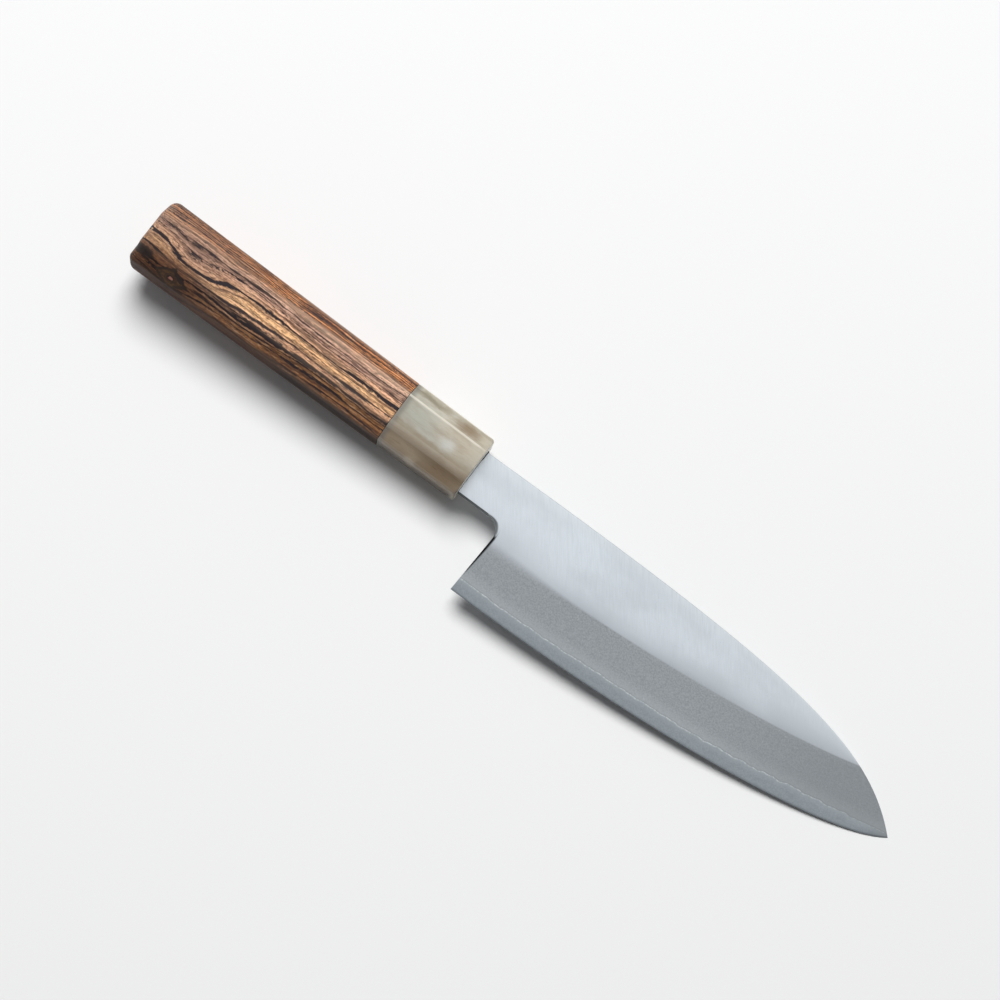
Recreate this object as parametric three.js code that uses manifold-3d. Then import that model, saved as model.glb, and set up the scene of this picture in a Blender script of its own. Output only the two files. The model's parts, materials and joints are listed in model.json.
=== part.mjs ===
// A kitchen knife with a three-layer blade, a horn ferrule and an eight-sided wooden handle.
// It lies on its left side, on the front edge of the ferrule and the tip of the blade.
// Millimetres. Before it is laid down, x runs along the handle's axis to the tip and is 0 at the
// ferrule's front face, y points to the spine, and z points out of the right side of the blade.

import * as THREE from "three";
import { mergeVertices } from "three/addons/utils/BufferGeometryUtils.js";
import Module from "manifold-3d";

// Blade outline
const EDGE_LENGTH = 165; // heel to tip, along the knife
const NECK_LENGTH = 17.4; // bare steel between the ferrule and the heel
const NECK_HEIGHT = 16.8;
const NECK_OFFSET = -0.75; // middle of the neck, from the handle's axis
const HEEL_HEIGHT = 44.4; // spine down to the edge at the heel
const HEEL_LEAN = 1.3; // how far the heel's back edge leans forward by the time it meets the neck
const CHOIL_RADIUS = 5.7; // round inside corner between the heel and the neck
const TIP_DROP = 24.1; // spine at the neck down to the tip
const SPINE_NECK_PULL = 126; // length of the spine curve's handle at the neck
const SPINE_CROWN = 1.7; // rise of that handle
const SPINE_TIP_PULL = 22.1; // spine curve's handle at the tip, back from the tip
const SPINE_TIP_RISE = 22; // the same handle, up from the tip
const EDGE_HEEL_PULL = 82.3; // length of the edge curve's handle at the heel
const EDGE_TIP_PULL = 16.3; // edge curve's handle at the tip, back from the tip
const EDGE_TIP_FALL = 11.4; // the same handle, down from the tip

// Blade thickness and layers
const SPINE_THICKNESS = 3; // at the neck and all along the tang
const TIP_THICKNESS = 1.7; // of the flats where they would reach the tip
const EDGE_THICKNESS = 0.2;
const BEVEL_AT_HEEL = 19; // width of the ground bevel
const BEVEL_AT_TIP = 22.1;
const CORE_AT_HEEL = 4.9; // width of core steel that shows above the edge
const CORE_AT_TIP = 5.7;
const WELD_SEAM = 0.02; // between two layers of the blade

// Tang
const SHOULDER_DEPTH = 4; // how far the full neck goes into the ferrule
const TANG_LENGTH = 82; // from the ferrule's front face
const TANG_HEIGHT = 10;
const TANG_TAPER = 4; // height that the tang loses towards its end

// Ferrule and handle
const FERRULE_LENGTH = 31.7;
const FERRULE_WALL = 2.85; // horn above and below the slot, the mean of the two
const FERRULE_THICKNESS = 20.4; // side to side at the front face
const FERRULE_EASE = 1.2; // rounding of the front edges
const HANDLE_LENGTH = 103.6;
const BUTT_HEIGHT = 25.2;
const BUTT_THICKNESS = 22.4;
const BUTT_ROUND = 3.2; // rounding of the butt's edges
const BUTT_DOME = 0.7; // crown of the butt's end face
const CORNER_HEIGHT = 5.8; // slanted corner facet, seen from the side
const CORNER_THICKNESS = 5; // the same facet, seen from above
const GLUE_LINE = 0.1; // between ferrule and handle

// Dowel
const DOWEL_SETBACK = 4; // tang shoulder back to the dowel's front end
const DOWEL_LIP = 1; // dowel beyond the tang, above and below it
const DOWEL_PLUG = 10; // solid wood behind the kerf

// Clearances, filled with glue
const SLOT_CLEARANCE = 0.3; // neck in the ferrule's slot
const KERF_CLEARANCE = 0.3; // tang in the dowel's kerf
const BORE_CLEARANCE = 0.3; // dowel in its bores

// How finely curves are divided, and how far a cutting tool reaches past what it cuts
const CURVE_STEPS = 36;
const ROUND_STEPS = 4;
const BORE_SIDES = 32;
const OVERCUT = 10;

// Places worked out from the sizes above
const neckTop = NECK_OFFSET + NECK_HEIGHT / 2;
const neckBottom = NECK_OFFSET - NECK_HEIGHT / 2;
const tipX = NECK_LENGTH + EDGE_LENGTH;
const tip = new THREE.Vector2(tipX, neckTop - TIP_DROP);
const heel = new THREE.Vector2(NECK_LENGTH, neckTop - HEEL_HEIGHT);
const dowelDiameter = TANG_HEIGHT + 2 * DOWEL_LIP;
const dowelFront = -SHOULDER_DEPTH - DOWEL_SETBACK;
const kerfEnd = -TANG_LENGTH - KERF_CLEARANCE;
const dowelBack = kerfEnd - DOWEL_PLUG;
const buttX = -FERRULE_LENGTH - HANDLE_LENGTH;
const ferruleHeight = NECK_HEIGHT + 2 * (SLOT_CLEARANCE + FERRULE_WALL);

const spineCurve = new THREE.CubicBezierCurve(
  new THREE.Vector2(0, neckTop),
  new THREE.Vector2(SPINE_NECK_PULL, neckTop + SPINE_CROWN),
  new THREE.Vector2(tip.x - SPINE_TIP_PULL, tip.y + SPINE_TIP_RISE),
  tip,
);
const edgeCurve = new THREE.CubicBezierCurve(
  heel,
  new THREE.Vector2(heel.x + EDGE_HEEL_PULL, heel.y),
  new THREE.Vector2(tip.x - EDGE_TIP_PULL, tip.y - EDGE_TIP_FALL),
  tip,
);

const wasm = await Module();
wasm.setup();

// A closed three.js geometry as a solid that can be cut
function solidOf(geometry) {
  const bare = geometry.clone();
  bare.deleteAttribute("normal");
  bare.deleteAttribute("uv");
  const merged = mergeVertices(bare, 1e-5);
  return new wasm.Manifold(
    new wasm.Mesh({
      numProp: 3,
      vertProperties: new Float32Array(merged.attributes.position.array),
      triVerts: new Uint32Array(merged.index.array),
    }),
  );
}

// A cut solid back as a geometry
function geometryOf(solid) {
  const mesh = solid.getMesh();
  const geometry = new THREE.BufferGeometry();
  geometry.setAttribute("position", new THREE.BufferAttribute(mesh.vertProperties, 3));
  geometry.setIndex(new THREE.BufferAttribute(mesh.triVerts, 1));
  geometry.computeVertexNormals();
  return geometry;
}

// A closed skin over rings of points that stand one behind the other along x.
// Each ring runs from +y towards +z, and its two end rings are closed by flat caps.
function loft(rings) {
  const count = rings[0].length;
  const last = rings.length - 1;
  const index = [];
  const at = (ring, point) => ring * count + (point % count);
  for (let ring = 0; ring < last; ring += 1) {
    for (let point = 0; point < count; point += 1) {
      index.push(at(ring, point), at(ring, point + 1), at(ring + 1, point));
      index.push(at(ring, point + 1), at(ring + 1, point + 1), at(ring + 1, point));
    }
  }
  for (let point = 1; point < count - 1; point += 1) {
    index.push(at(0, 0), at(0, point + 1), at(0, point));
    index.push(at(last, 0), at(last, point), at(last, point + 1));
  }
  const geometry = new THREE.BufferGeometry().setFromPoints(rings.flat());
  geometry.setIndex(index);
  return geometry;
}

// A flat outline in x and y, carried through the whole thickness of the knife
function throughThickness(shape) {
  const depth = FERRULE_THICKNESS + 2 * OVERCUT;
  const settings = { depth, bevelEnabled: false, curveSegments: CURVE_STEPS };
  return solidOf(new THREE.ExtrudeGeometry(shape, settings).translate(0, 0, -depth / 2));
}

// A flat outline given by its x and z points, carried through the whole height of the knife
function throughHeight(points) {
  const depth = 2 * (HEEL_HEIGHT + BUTT_HEIGHT);
  const shape = new THREE.Shape(points.map(([x, z]) => new THREE.Vector2(x, -z)));
  const geometry = new THREE.ExtrudeGeometry(shape, { depth, bevelEnabled: false });
  return solidOf(geometry.translate(0, 0, -depth / 2).rotateX(-Math.PI / 2));
}

// A round rod along x, from one place to another
function rod(diameter, from, to) {
  const geometry = new THREE.CylinderGeometry(diameter / 2, diameter / 2, to - from, BORE_SIDES);
  return solidOf(geometry.rotateZ(-Math.PI / 2).translate((from + to) / 2, 0, 0));
}

// A box between two corners
function block(low, high) {
  const size = new THREE.Vector3().subVectors(high, low);
  const middle = new THREE.Vector3().addVectors(high, low).divideScalar(2);
  const geometry = new THREE.BoxGeometry(size.x, size.y, size.z);
  return solidOf(geometry.translate(middle.x, middle.y, middle.z));
}

// Half the thickness of the flats, and half that of the core, at the neck and at the tip
const halfEdge = EDGE_THICKNESS / 2;
const flatsAtNeck = SPINE_THICKNESS / 2;
const flatsAtTip = TIP_THICKNESS / 2;
const halfFlats = (x) => THREE.MathUtils.lerp(flatsAtNeck, flatsAtTip, Math.max(x, 0) / tipX);
const coreOf = (flats, width, bevel) => halfEdge + ((flats - halfEdge) * width) / bevel;
const coreAtHeel = coreOf(halfFlats(heel.x), CORE_AT_HEEL, BEVEL_AT_HEEL);
const coreAtTip = coreOf(flatsAtTip, CORE_AT_TIP, BEVEL_AT_TIP);
const coreAtNeck = coreAtTip + ((coreAtHeel - coreAtTip) * tipX) / EDGE_LENGTH;

// The outline of blade, neck and tang. Below the edge it is left open, for the bevels to end it.
function bladeOutline() {
  const lean = Math.atan2(HEEL_LEAN, neckBottom - heel.y);
  const below = heel.y - OVERCUT;
  const heelAt = (y) => heel.x + (y - heel.y) * Math.tan(lean);
  const roundY = neckBottom - CHOIL_RADIUS;
  const roundX = heelAt(roundY) - CHOIL_RADIUS / Math.cos(lean);
  const tangEnd = (TANG_HEIGHT - TANG_TAPER) / 2;
  const shape = new THREE.Shape();
  shape.moveTo(-TANG_LENGTH, -tangEnd);
  shape.lineTo(-SHOULDER_DEPTH, -TANG_HEIGHT / 2);
  shape.lineTo(-SHOULDER_DEPTH, neckBottom);
  shape.lineTo(roundX, neckBottom);
  shape.absarc(roundX, roundY, CHOIL_RADIUS, Math.PI / 2, -lean, true);
  shape.lineTo(heelAt(below), below);
  shape.lineTo(tip.x, below);
  shape.lineTo(tip.x, tip.y);
  spineCurve.getPoints(CURVE_STEPS).reverse().slice(1).forEach((point) => shape.lineTo(point.x, point.y));
  shape.lineTo(-SHOULDER_DEPTH, neckTop);
  shape.lineTo(-SHOULDER_DEPTH, TANG_HEIGHT / 2);
  shape.lineTo(-TANG_LENGTH, tangEnd);
  return shape;
}

// The two bevels as one wedge that stands on the edge and opens towards the spine
function bevelWedge() {
  const top = neckTop + SPINE_CROWN + OVERCUT;
  const ring = (x, y) => {
    const along = Math.max(x - heel.x, 0) / EDGE_LENGTH;
    const slope = (halfFlats(x) - halfEdge) / THREE.MathUtils.lerp(BEVEL_AT_HEEL, BEVEL_AT_TIP, along);
    const wide = halfEdge + slope * (top - y);
    return [
      new THREE.Vector3(x, top, wide),
      new THREE.Vector3(x, y, halfEdge),
      new THREE.Vector3(x, y, -halfEdge),
      new THREE.Vector3(x, top, -wide),
    ];
  };
  const rings = edgeCurve.getPoints(CURVE_STEPS).map((point) => ring(point.x, point.y));
  return solidOf(loft([ring(-TANG_LENGTH - OVERCUT, heel.y), ...rings]));
}

// Everything between two heights over the blade's middle plane. Each height is given at the neck
// and at the tip, stays the same along the tang and changes evenly along the blade.
function layer(lowAtNeck, lowAtTip, highAtNeck, highAtTip) {
  const back = -TANG_LENGTH - OVERCUT;
  const front = tipX + OVERCUT;
  const beyond = (atNeck, atTip) => atNeck + ((atTip - atNeck) * front) / tipX;
  return throughHeight([
    [back, lowAtNeck],
    [0, lowAtNeck],
    [front, beyond(lowAtNeck, lowAtTip)],
    [front, beyond(highAtNeck, highAtTip)],
    [0, highAtNeck],
    [back, highAtNeck],
  ]);
}

const blade = throughThickness(bladeOutline()).intersect(bevelWedge());
const gap = WELD_SEAM;
const coreLayer = layer(-coreAtNeck, -coreAtTip, coreAtNeck, coreAtTip);
const rightLayer = layer(coreAtNeck + gap, coreAtTip + gap, flatsAtNeck, flatsAtTip);
const leftLayer = layer(-flatsAtNeck, -flatsAtTip, -coreAtNeck - gap, -coreAtTip - gap);

// The eight-sided section of ferrule and handle at x, drawn in from its faces by an inset
function section(x, inset) {
  const along = x / buttX;
  const height = THREE.MathUtils.lerp(ferruleHeight, BUTT_HEIGHT, along) / 2 - inset;
  const thickness = THREE.MathUtils.lerp(FERRULE_THICKNESS, BUTT_THICKNESS, along) / 2 - inset;
  const slant = Math.hypot(CORNER_HEIGHT, CORNER_THICKNESS);
  const cornerY = CORNER_HEIGHT - inset + (inset * (slant - CORNER_HEIGHT)) / CORNER_THICKNESS;
  const cornerZ = CORNER_THICKNESS - inset + (inset * (slant - CORNER_THICKNESS)) / CORNER_HEIGHT;
  const quarter = [
    [height, thickness - cornerZ],
    [height - cornerY, thickness],
  ];
  const around = [
    ...quarter,
    ...quarter.map(([y, z]) => [-y, z]).reverse(),
    ...quarter.map(([y, z]) => [-y, -z]),
    ...quarter.map(([y, z]) => [y, -z]).reverse(),
  ];
  return around.map(([y, z]) => new THREE.Vector3(x, y, z));
}

// Sections that round the edges of an end face. Toward is 1 for a front end and -1 for the butt.
function roundedEnd(endX, radius, toward) {
  const rings = [];
  for (let step = 0; step <= ROUND_STEPS; step += 1) {
    const turn = (step / ROUND_STEPS) * (Math.PI / 2);
    const back = radius * (1 - Math.sin(turn));
    rings.push(section(endX - toward * back, radius * (1 - Math.cos(turn))));
  }
  return rings;
}

// Horn collar: bored from behind for the dowel, slotted in front for the neck
function ferruleGeometry() {
  const body = solidOf(loft([section(-FERRULE_LENGTH, 0), ...roundedEnd(0, FERRULE_EASE, 1)]));
  const bore = rod(dowelDiameter + 2 * BORE_CLEARANCE, -FERRULE_LENGTH - OVERCUT, dowelFront);
  const half = SPINE_THICKNESS / 2 + SLOT_CLEARANCE;
  const slot = block(
    new THREE.Vector3(dowelFront - BORE_CLEARANCE, neckBottom - SLOT_CLEARANCE, -half),
    new THREE.Vector3(OVERCUT, neckTop + SLOT_CLEARANCE, half),
  );
  return geometryOf(body.subtract(bore).subtract(slot));
}

// Wooden body: one blind bore for the dowel, a rounded and slightly crowned butt
function handleGeometry() {
  const butt = roundedEnd(buttX + BUTT_DOME, BUTT_ROUND, -1).reverse();
  const crown = section(buttX, BUTT_ROUND + CORNER_THICKNESS);
  const front = section(-FERRULE_LENGTH - GLUE_LINE, 0);
  const body = solidOf(loft([crown, ...butt, front]));
  const bore = rod(dowelDiameter + 2 * BORE_CLEARANCE, dowelBack - BORE_CLEARANCE, OVERCUT);
  return geometryOf(body.subtract(bore));
}

// Round dowel, sawn open from its front end so that the tang slides in
function dowelGeometry() {
  const half = SPINE_THICKNESS / 2 + KERF_CLEARANCE;
  const kerf = block(
    new THREE.Vector3(kerfEnd, -dowelDiameter, -half),
    new THREE.Vector3(OVERCUT, dowelDiameter, half),
  );
  return geometryOf(rod(dowelDiameter, dowelBack, dowelFront - BORE_CLEARANCE).subtract(kerf));
}

function piece(name, geometry, color, roughness, metalness) {
  const mesh = new THREE.Mesh(geometry, new THREE.MeshStandardMaterial({ color, roughness, metalness }));
  mesh.name = name;
  return mesh;
}

const bladePieces = [
  piece("core_steel", geometryOf(blade.intersect(coreLayer)), 0x929ea6, 0.35, 1),
  piece("right_cladding", geometryOf(blade.intersect(rightLayer)), 0xb9c0c5, 0.45, 1),
  piece("left_cladding", geometryOf(blade.intersect(leftLayer)), 0xb9c0c5, 0.45, 1),
];
const handlePieces = [
  piece("ferrule", ferruleGeometry(), 0xb2ad9c, 0.3, 0),
  piece("handle", handleGeometry(), 0x9a6240, 0.55, 0),
  piece("dowel", dowelGeometry(), 0xd8c39a, 0.8, 0),
];

// The knife tips forward over the ferrule's front edge until the blade meets the table
function restingTilt() {
  const pivot = section(-FERRULE_EASE, 0).reduce((low, point) => (point.z < low.z ? point : low));
  const point = new THREE.Vector3();
  let tilt = Math.PI / 2;
  for (const { geometry } of bladePieces) {
    const { position } = geometry.attributes;
    for (let vertex = 0; vertex < position.count; vertex += 1) {
      point.fromBufferAttribute(position, vertex);
      if (point.x > 0) {
        tilt = Math.min(tilt, Math.atan2(point.z - pivot.z, point.x - pivot.x));
      }
    }
  }
  return tilt;
}

const knife = new THREE.Group();
knife.name = "santoku_knife";
knife.add(...bladePieces, ...handlePieces);
knife.rotation.y = restingTilt();

// The origin is on the table, under the middle of the knife
const box = new THREE.Box3().setFromObject(knife, true);
const middle = box.getCenter(new THREE.Vector3());
knife.position.set(-middle.x, -middle.y, -box.min.z);

export default knife;
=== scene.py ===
"""Looks of a kitchen knife: a layered blade, a horn ferrule and an eight-sided handle of striped wood."""
import json
import math

import bmesh
import bpy
import numpy as np
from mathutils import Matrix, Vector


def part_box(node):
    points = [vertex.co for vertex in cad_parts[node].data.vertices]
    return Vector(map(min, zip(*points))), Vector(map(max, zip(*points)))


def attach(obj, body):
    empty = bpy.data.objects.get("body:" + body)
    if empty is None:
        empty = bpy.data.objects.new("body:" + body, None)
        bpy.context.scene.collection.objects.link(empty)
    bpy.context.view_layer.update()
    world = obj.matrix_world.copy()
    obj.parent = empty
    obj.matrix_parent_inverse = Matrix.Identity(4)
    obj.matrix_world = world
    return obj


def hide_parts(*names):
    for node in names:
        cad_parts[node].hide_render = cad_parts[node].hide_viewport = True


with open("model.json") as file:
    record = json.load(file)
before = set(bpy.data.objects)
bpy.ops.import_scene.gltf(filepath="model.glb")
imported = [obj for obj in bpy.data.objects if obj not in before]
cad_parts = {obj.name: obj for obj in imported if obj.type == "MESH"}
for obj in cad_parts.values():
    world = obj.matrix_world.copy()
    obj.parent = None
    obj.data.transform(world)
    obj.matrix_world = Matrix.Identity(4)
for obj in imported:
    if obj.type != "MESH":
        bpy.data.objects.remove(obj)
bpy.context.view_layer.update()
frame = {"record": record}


# Core steel: the hard middle layer of the blade, which carries the edge and runs back into the tang.
# It is forged between two layers of soft iron, so it shows only as a bluish strip under the weld line
# and as a thin line along the spine, the choil and the heel.
# Sizes are millimetres in the knife's own axes: x from the ferrule's front face to the tip, y to the
# spine, z out of the right side.
EDGE_LENGTH = 165.0
NECK_LENGTH = 17.4
NECK_HEIGHT = 16.8
NECK_OFFSET = -0.75
HEEL_HEIGHT = 44.4
HEEL_LEAN = 1.3
CHOIL_RADIUS = 5.7
TIP_DROP = 24.1
SPINE_PULLS = ((126.0, 1.7), (-22.1, 22.0))
EDGE_PULLS = ((82.3, 0.0), (-16.3, -11.4))
SPINE_THICKNESS = 3.0
TIP_THICKNESS = 1.7
EDGE_THICKNESS = 0.2
HONED_EDGE = 0.024
HONED_HEIGHT = 0.45
THIN_TIP_HEIGHT = 1.5
BEVEL_AT_HEEL = 19.0
BEVEL_AT_TIP = 22.1
CORE_AT_HEEL = 4.9
CORE_AT_TIP = 5.7
CORE_TAPER_START = 144.0
CORE_TAPER_PAST_TIP = 0.6
TANG_END = -82.0
TANG_SHOULDER = -4.0
SHOULDER_STEP = 0.2
TANG_HALF_END = 3.0
TANG_HALF_SHOULDER = 5.0
SHINOGI_SOFT = 0.16
SHINOGI_SOFT_LENGTH = 26.0
SPINE_EASE = 0.3
CHOIL_EASE = 0.95
HEEL_EASE = 0.75
NECK_EASE = 0.14
CHOIL_EASE_ANGLE = 0.9
EASE_START = (-1.5, 0.5)
COLUMN_LEAD = 2.0
LEAD_FADE = 16.0
LEAN_FADE = 26.0
TRIAL_START = 130.0
CURVE_POINTS = 4000
TANG_COLUMNS = 12
NECK_COLUMNS = 40
CHOIL_COLUMNS = 26
FLAT_COLUMNS = 330
CLAD_COLUMNS = 375
TIP_COLUMNS = 25
HEEL_ROWS = 9
CORE_ROWS = 9
MERGE_DISTANCE = 2e-6
SLIVER = 1e-7
SHARP_ANGLE = math.radians(32)

neck_top = NECK_OFFSET + NECK_HEIGHT / 2
neck_bottom = NECK_OFFSET - NECK_HEIGHT / 2
heel = np.array([NECK_LENGTH, neck_top - HEEL_HEIGHT])
tip = np.array([NECK_LENGTH + EDGE_LENGTH, neck_top - TIP_DROP])

mounts = {mount["name"]: np.array(mount["axis"]) for mount in frame["record"]["mounts"]}
middle = mounts["blade_right_flat"] - mounts["blade_left_flat"]
tilt = math.atan2(middle[0], middle[2])
core_low, core_high = (np.array(corner) * 1000 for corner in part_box("core_steel"))
knife_place = np.array([
    core_high[0] - tip[0] * math.cos(tilt) - EDGE_THICKNESS / 2 * math.sin(tilt),
    core_low[1] - heel[1],
    core_low[2] + tip[0] * math.sin(tilt) + EDGE_THICKNESS / 2 * math.cos(tilt),
])


def to_world(points):
    """Millimetres in the knife's axes to metres in the frame: a turn about Y by the resting tilt, then a
    shift."""
    x, y, z = points[..., 0], points[..., 1], points[..., 2]
    turned_x = x * math.cos(tilt) + z * math.sin(tilt)
    turned_z = z * math.cos(tilt) - x * math.sin(tilt)
    return (np.stack([turned_x, y, turned_z], -1) + knife_place) / 1000


def smooth(start, end, value):
    """Rises from 0 at start to 1 at end along 3t^2 - 2t^3."""
    t = np.clip((value - start) / (end - start), 0, 1)
    return t * t * (3 - 2 * t)


def bezier(start, start_pull, end_pull, end):
    """A cubic curve: its four control points weighted by the Bernstein polynomials of t. The middle two are
    given as pulls from the ends."""
    t = np.linspace(0, 1, CURVE_POINTS)[:, None]
    near = (1 - t) ** 3 * start + 3 * (1 - t) ** 2 * t * (start + start_pull)
    return near + 3 * (1 - t) * t ** 2 * (end + end_pull) + t ** 3 * end


spine_line = bezier(np.array([0, neck_top]), *SPINE_PULLS, tip)
edge_line = bezier(heel, *EDGE_PULLS, tip)
spine_slope = np.gradient(spine_line[:, 1], spine_line[:, 0])


def spine_at(x):
    """Height of the spine line at x, flat behind the ferrule's front face."""
    return np.interp(x, spine_line[:, 0], spine_line[:, 1])


def edge_at(x):
    """Height of the edge line at x."""
    return np.interp(x, edge_line[:, 0], edge_line[:, 1])


def flat_at(x):
    """Half the thickness between the flats, falling evenly from the neck to the tip."""
    return np.interp(x, [0, tip[0]], [SPINE_THICKNESS / 2, TIP_THICKNESS / 2])


def bevel_width(x):
    """Width of the ground bevel, growing evenly from heel to tip."""
    return np.interp(x, [heel[0], tip[0]], [BEVEL_AT_HEEL, BEVEL_AT_TIP])


def shinogi_at(x):
    """Height of the shinogi, the line where flat and bevel meet."""
    return edge_at(x) + bevel_width(x)


lean = math.atan2(HEEL_LEAN, neck_bottom - heel[1])
choil_y = neck_bottom - CHOIL_RADIUS
choil_x = heel[0] + (choil_y - heel[1]) * math.tan(lean) - CHOIL_RADIUS / math.cos(lean)
heel_inward = np.array([math.cos(lean), -math.sin(lean)])
choil_foot = np.array([choil_x, choil_y]) + CHOIL_RADIUS * heel_inward
choil_inner_foot = choil_foot + HEEL_EASE * heel_inward
heel_soft = choil_inner_foot[1] - shinogi_at(choil_inner_foot[0])


def shinogi_softness(x):
    """Half the width in which flat and bevel run into each other: wide at the heel, crisp further on."""
    away = np.maximum(x - choil_inner_foot[0], 0) / SHINOGI_SOFT_LENGTH
    return SHINOGI_SOFT + (heel_soft - SHINOGI_SOFT) * np.exp(-away ** 2)


def face_height(x, y):
    """Height of a side over the blade's middle plane: the flat, then a plane that falls to the edge, with a
    parabola between them inside the softness of the shinogi."""
    slope = (flat_at(x) - EDGE_THICKNESS / 2) / bevel_width(x)
    soft = shinogi_softness(x)
    below = shinogi_at(x) - y
    drop = np.where(below > soft, below, np.maximum(below + soft, 0) ** 2 / (4 * soft))
    return flat_at(x) - slope * drop


def weld_at(x, side):
    """Height of the weld line: a strip's width over the edge, narrowed towards the tip by a quarter of an
    ellipse, with waves of four lengths that die at both ends; the two short ones grow towards the tip."""
    width = np.interp(x, [heel[0], tip[0]], [CORE_AT_HEEL, CORE_AT_TIP])
    taper_end = tip[0] + CORE_TAPER_PAST_TIP
    to_tip = np.clip((x - CORE_TAPER_START) / (taper_end - CORE_TAPER_START), 0, 1)
    base = edge_at(x) + width * np.sqrt(1 - to_tip ** 2)
    wave = 0.16 * np.sin(x / 11.3 + 1.1 * side) + 0.07 * np.sin(x / 3.9 + 2.3 * side)
    short = 0.1 * np.sin(x / 1.45 + 0.7 * side) + 0.08 * np.sin(x / 0.66 + 1.9 * side + np.sin(x / 2.7))
    wave = wave + short * (1 + 0.9 * smooth(95.0, 145.0, x))
    between_ends = smooth(heel[0] + 0.5, heel[0] + 6, x) * smooth(tip[0] - 6, tip[0] - 16, x)
    return base + wave * abs(side) * between_ends


def heel_line(y):
    """The heel's straight back line, leaning towards the choil."""
    return heel[0] + (y - heel[1]) * math.tan(lean)


# The outline is walked in columns from the tang's end to the tip, each with a point on the spine side
# and one on the lower side. Inward directions and easing radii go with the points.
tang_x = np.linspace(TANG_END, TANG_SHOULDER, TANG_COLUMNS)
tang_half = np.interp(tang_x, [TANG_END, TANG_SHOULDER], [TANG_HALF_END, TANG_HALF_SHOULDER])
neck_x = np.linspace(TANG_SHOULDER + SHOULDER_STEP, choil_x, NECK_COLUMNS)
choil_turn = np.linspace(math.pi / 2, -lean, CHOIL_COLUMNS)[1:]
choil_out = np.column_stack([np.cos(choil_turn), np.sin(choil_turn)])
choil_head_x = np.linspace(choil_x, choil_foot[0] + COLUMN_LEAD, CHOIL_COLUMNS)[1:]
back_x = np.concatenate([tang_x, neck_x, choil_head_x])
back_head = np.column_stack([back_x, np.concatenate([tang_half, spine_at(back_x[len(tang_x):])])])
back_foot = np.vstack([
    np.column_stack([tang_x, -tang_half]),
    np.column_stack([neck_x, np.full_like(neck_x, neck_bottom)]),
    np.array([choil_x, choil_y]) + CHOIL_RADIUS * choil_out,
])
back_foot_in = np.vstack([np.tile([0.0, 1.0], (len(tang_x) + len(neck_x), 1)), choil_out])
choil_eases = ([-lean, CHOIL_EASE_ANGLE, math.pi / 2], [HEEL_EASE, CHOIL_EASE, NECK_EASE])
back_foot_ease = np.concatenate([
    np.zeros(len(tang_x)),
    np.interp(neck_x, EASE_START, [0, NECK_EASE]),
    np.interp(choil_turn, *choil_eases),
])
BACK = len(back_x)


def spine_inward(x):
    """Unit direction from the spine into the steel, square to the spine line."""
    slope = np.interp(x, spine_line[:, 0], spine_slope, left=0)
    return np.column_stack([slope, -np.ones_like(slope)]) / np.sqrt(1 + slope ** 2)[:, None]


def spine_ease(x):
    """Easing radius along the spine: full on the blade, none in the ferrule and where the cladding ends."""
    thick = face_height(x, spine_at(x)) - face_height(x, weld_at(x, 0))
    return SPINE_EASE * np.clip(thick, 0, 1) * np.interp(x, EASE_START, [0, 1])


trial_x = np.linspace(TRIAL_START, tip[0] - 0.01, CURVE_POINTS)
over_weld = spine_at(trial_x) - weld_at(trial_x, 0)
cladding_end = np.interp(0, over_weld[::-1], trial_x[::-1])
trial_x = np.linspace(TRIAL_START, cladding_end, CURVE_POINTS)
trial_spine = np.column_stack([trial_x, spine_at(trial_x)])
trial_inner = trial_spine + spine_inward(trial_x) * spine_ease(trial_x)[:, None]
over_shinogi = trial_inner[:, 1] - shinogi_at(trial_inner[:, 0]) - shinogi_softness(trial_inner[:, 0])
flat_end = np.interp(0, over_shinogi[::-1], trial_x[::-1])

blade_x = np.concatenate([
    np.linspace(back_x[-1], flat_end, FLAT_COLUMNS),
    np.linspace(flat_end, cladding_end, CLAD_COLUMNS - FLAT_COLUMNS + 1)[1:],
    np.linspace(cladding_end, tip[0], TIP_COLUMNS + 1)[1:],
])
head = np.column_stack([blade_x, spine_at(blade_x)])
head_in = spine_inward(blade_x)
head_ease = spine_ease(blade_x)
head_inner = head + head_in * head_ease[:, None]
lead_left = 1 - smooth(back_x[-1], back_x[-1] + LEAD_FADE, blade_x)
column_x = head_inner[:, 0] - (head_inner[0, 0] - choil_inner_foot[0]) * lead_left
column_lean = 1 - smooth(column_x[0], column_x[0] + LEAN_FADE, column_x)
clad_x = column_x[:CLAD_COLUMNS]
clad_lean = column_lean[:CLAD_COLUMNS]


def heel_ease(y):
    """Easing radius along the heel, in proportion to the cladding's thickness there."""
    x = heel_line(y)
    thick = face_height(x, y) - face_height(x, weld_at(x, 0))
    full = flat_at(heel[0]) - face_height(heel[0], weld_at(heel[0], 0))
    return HEEL_EASE * np.clip(thick / full, 0, 1)


def heel_inner(y):
    """The heel line moved into the steel by its easing radius."""
    return heel_line(y) + heel_ease(y)


def leaning_x(y):
    """Column places at height y: the first column follows the heel's eased line, and the lean fades out."""
    return clad_x + (heel_inner(y) - heel_inner(choil_inner_foot[1])) * clad_lean


def weld_points(side):
    """Plan points where the core comes out from under the cladding, one for each column of the cladding."""
    y = weld_at(clad_x, side)
    y[0] = weld_at(heel_line(heel[1] + CORE_AT_HEEL), 0)
    y[-1] = head[CLAD_COLUMNS - 1, 1]
    return np.column_stack([leaning_x(y), y])


def lift(plan, z):
    """Puts heights on plan points."""
    return np.concatenate([plan, np.broadcast_to(z, plan.shape[:-1])[..., None]], -1)


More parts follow.
